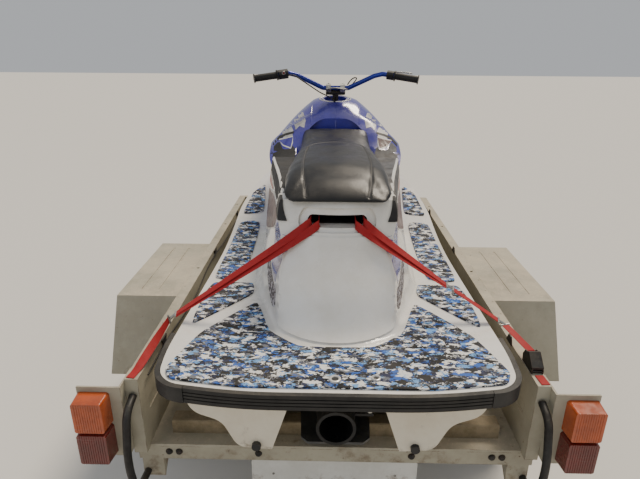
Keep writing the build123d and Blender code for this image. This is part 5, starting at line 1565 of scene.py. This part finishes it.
@dataclass
class Studio:
    """Plain floor, soft lights and the camera at the photograph's angle."""

    focal: float = 28.125
    height: float = 1.60
    side: float = -0.03
    station: float = -1.03
    down: float = 20.4
    left: float = 0.92
    roll: float = -0.4

    def camera(self) -> None:
        """Places the camera."""
        data = bpy.data.cameras.new("camera")
        data.lens, data.sensor_width, data.sensor_fit = self.focal, 36.0, "HORIZONTAL"
        cam = grown("camera", data)
        pitch, yaw, roll = (math.radians(a) for a in (self.down, self.left, self.roll))
        ahead = Vector((-math.sin(yaw) * math.cos(pitch), math.cos(yaw) * math.cos(pitch), -math.sin(pitch)))
        right0 = Vector((math.cos(yaw), math.sin(yaw), 0.0))
        down0 = ahead.cross(right0)
        right = right0 * math.cos(roll) + down0 * math.sin(roll)
        down = down0 * math.cos(roll) - right0 * math.sin(roll)
        turn = Matrix((right, -down, -ahead)).transposed()
        cam.matrix_world = Matrix.Translation((self.side, self.station - HALF_LENGTH, self.height)) @ turn.to_4x4()
        bpy.context.scene.camera = cam

    def lamp(self, name: str, kind: str, at: Point, aim: Point, size: float, power: float, warm: str) -> None:
        """One soft light: a square panel, or a sun with its width in radians."""
        data = bpy.data.lights.new(name, kind)
        data.energy, data.color = power, tint(warm)[:3]
        if kind == "SUN":
            data.angle = size
        else:
            data.shape, data.size = "SQUARE", size
        lamp = grown(name, data)
        aim_way = (Vector(aim) - Vector(at)).to_track_quat("-Z", "Y")
        lamp.matrix_world = Matrix.Translation(at) @ aim_way.to_matrix().to_4x4()

    def build(self) -> None:
        """Makes the floor, the lights and the camera."""
        self.camera()
        bpy.ops.mesh.primitive_plane_add(size=80.0)
        floor = bpy.context.object
        floor.name = "studio_floor"
        made = bpy.data.materials.new("studio_floor")
        made.use_nodes = True
        Graph(made.node_tree).feed(made.node_tree.nodes["Principled BSDF"],
                                   {"Base Color": tint("D6D3CD"), "Roughness": 0.95})
        floor.data.materials.append(made)
        world = bpy.data.worlds.new("studio")
        bpy.context.scene.world = world
        world.use_nodes = True
        Graph(world.node_tree).feed(world.node_tree.nodes["Background"], {"Color": tint("E3E6EA"), "Strength": 0.6})
        self.lamp("key", "SUN", (1.6, 2.2, 5.0), (0.0, 0.0, 0.5), 0.35, 3.1, "FFF1DC")
        self.lamp("fill", "AREA", (-3.6, -4.6, 3.6), (0.0, -0.6, 0.7), 4.0, 30.0, "EAF1FF")


def main() -> None:
    """Builds each sub-assembly in order."""
    logging.basicConfig(level=logging.INFO, format="%(message)s")
    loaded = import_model()
    Studio().build()
    frame = Frame(loaded["nodes"])
    frame.dress()
    for assembly in (Mats(), Saddle(), Graphics(), Pedestal(), Helm(), Wheels(), Webbings(), Trailer()):
        assembly.build(frame)


if __name__ == "__main__":
    main()
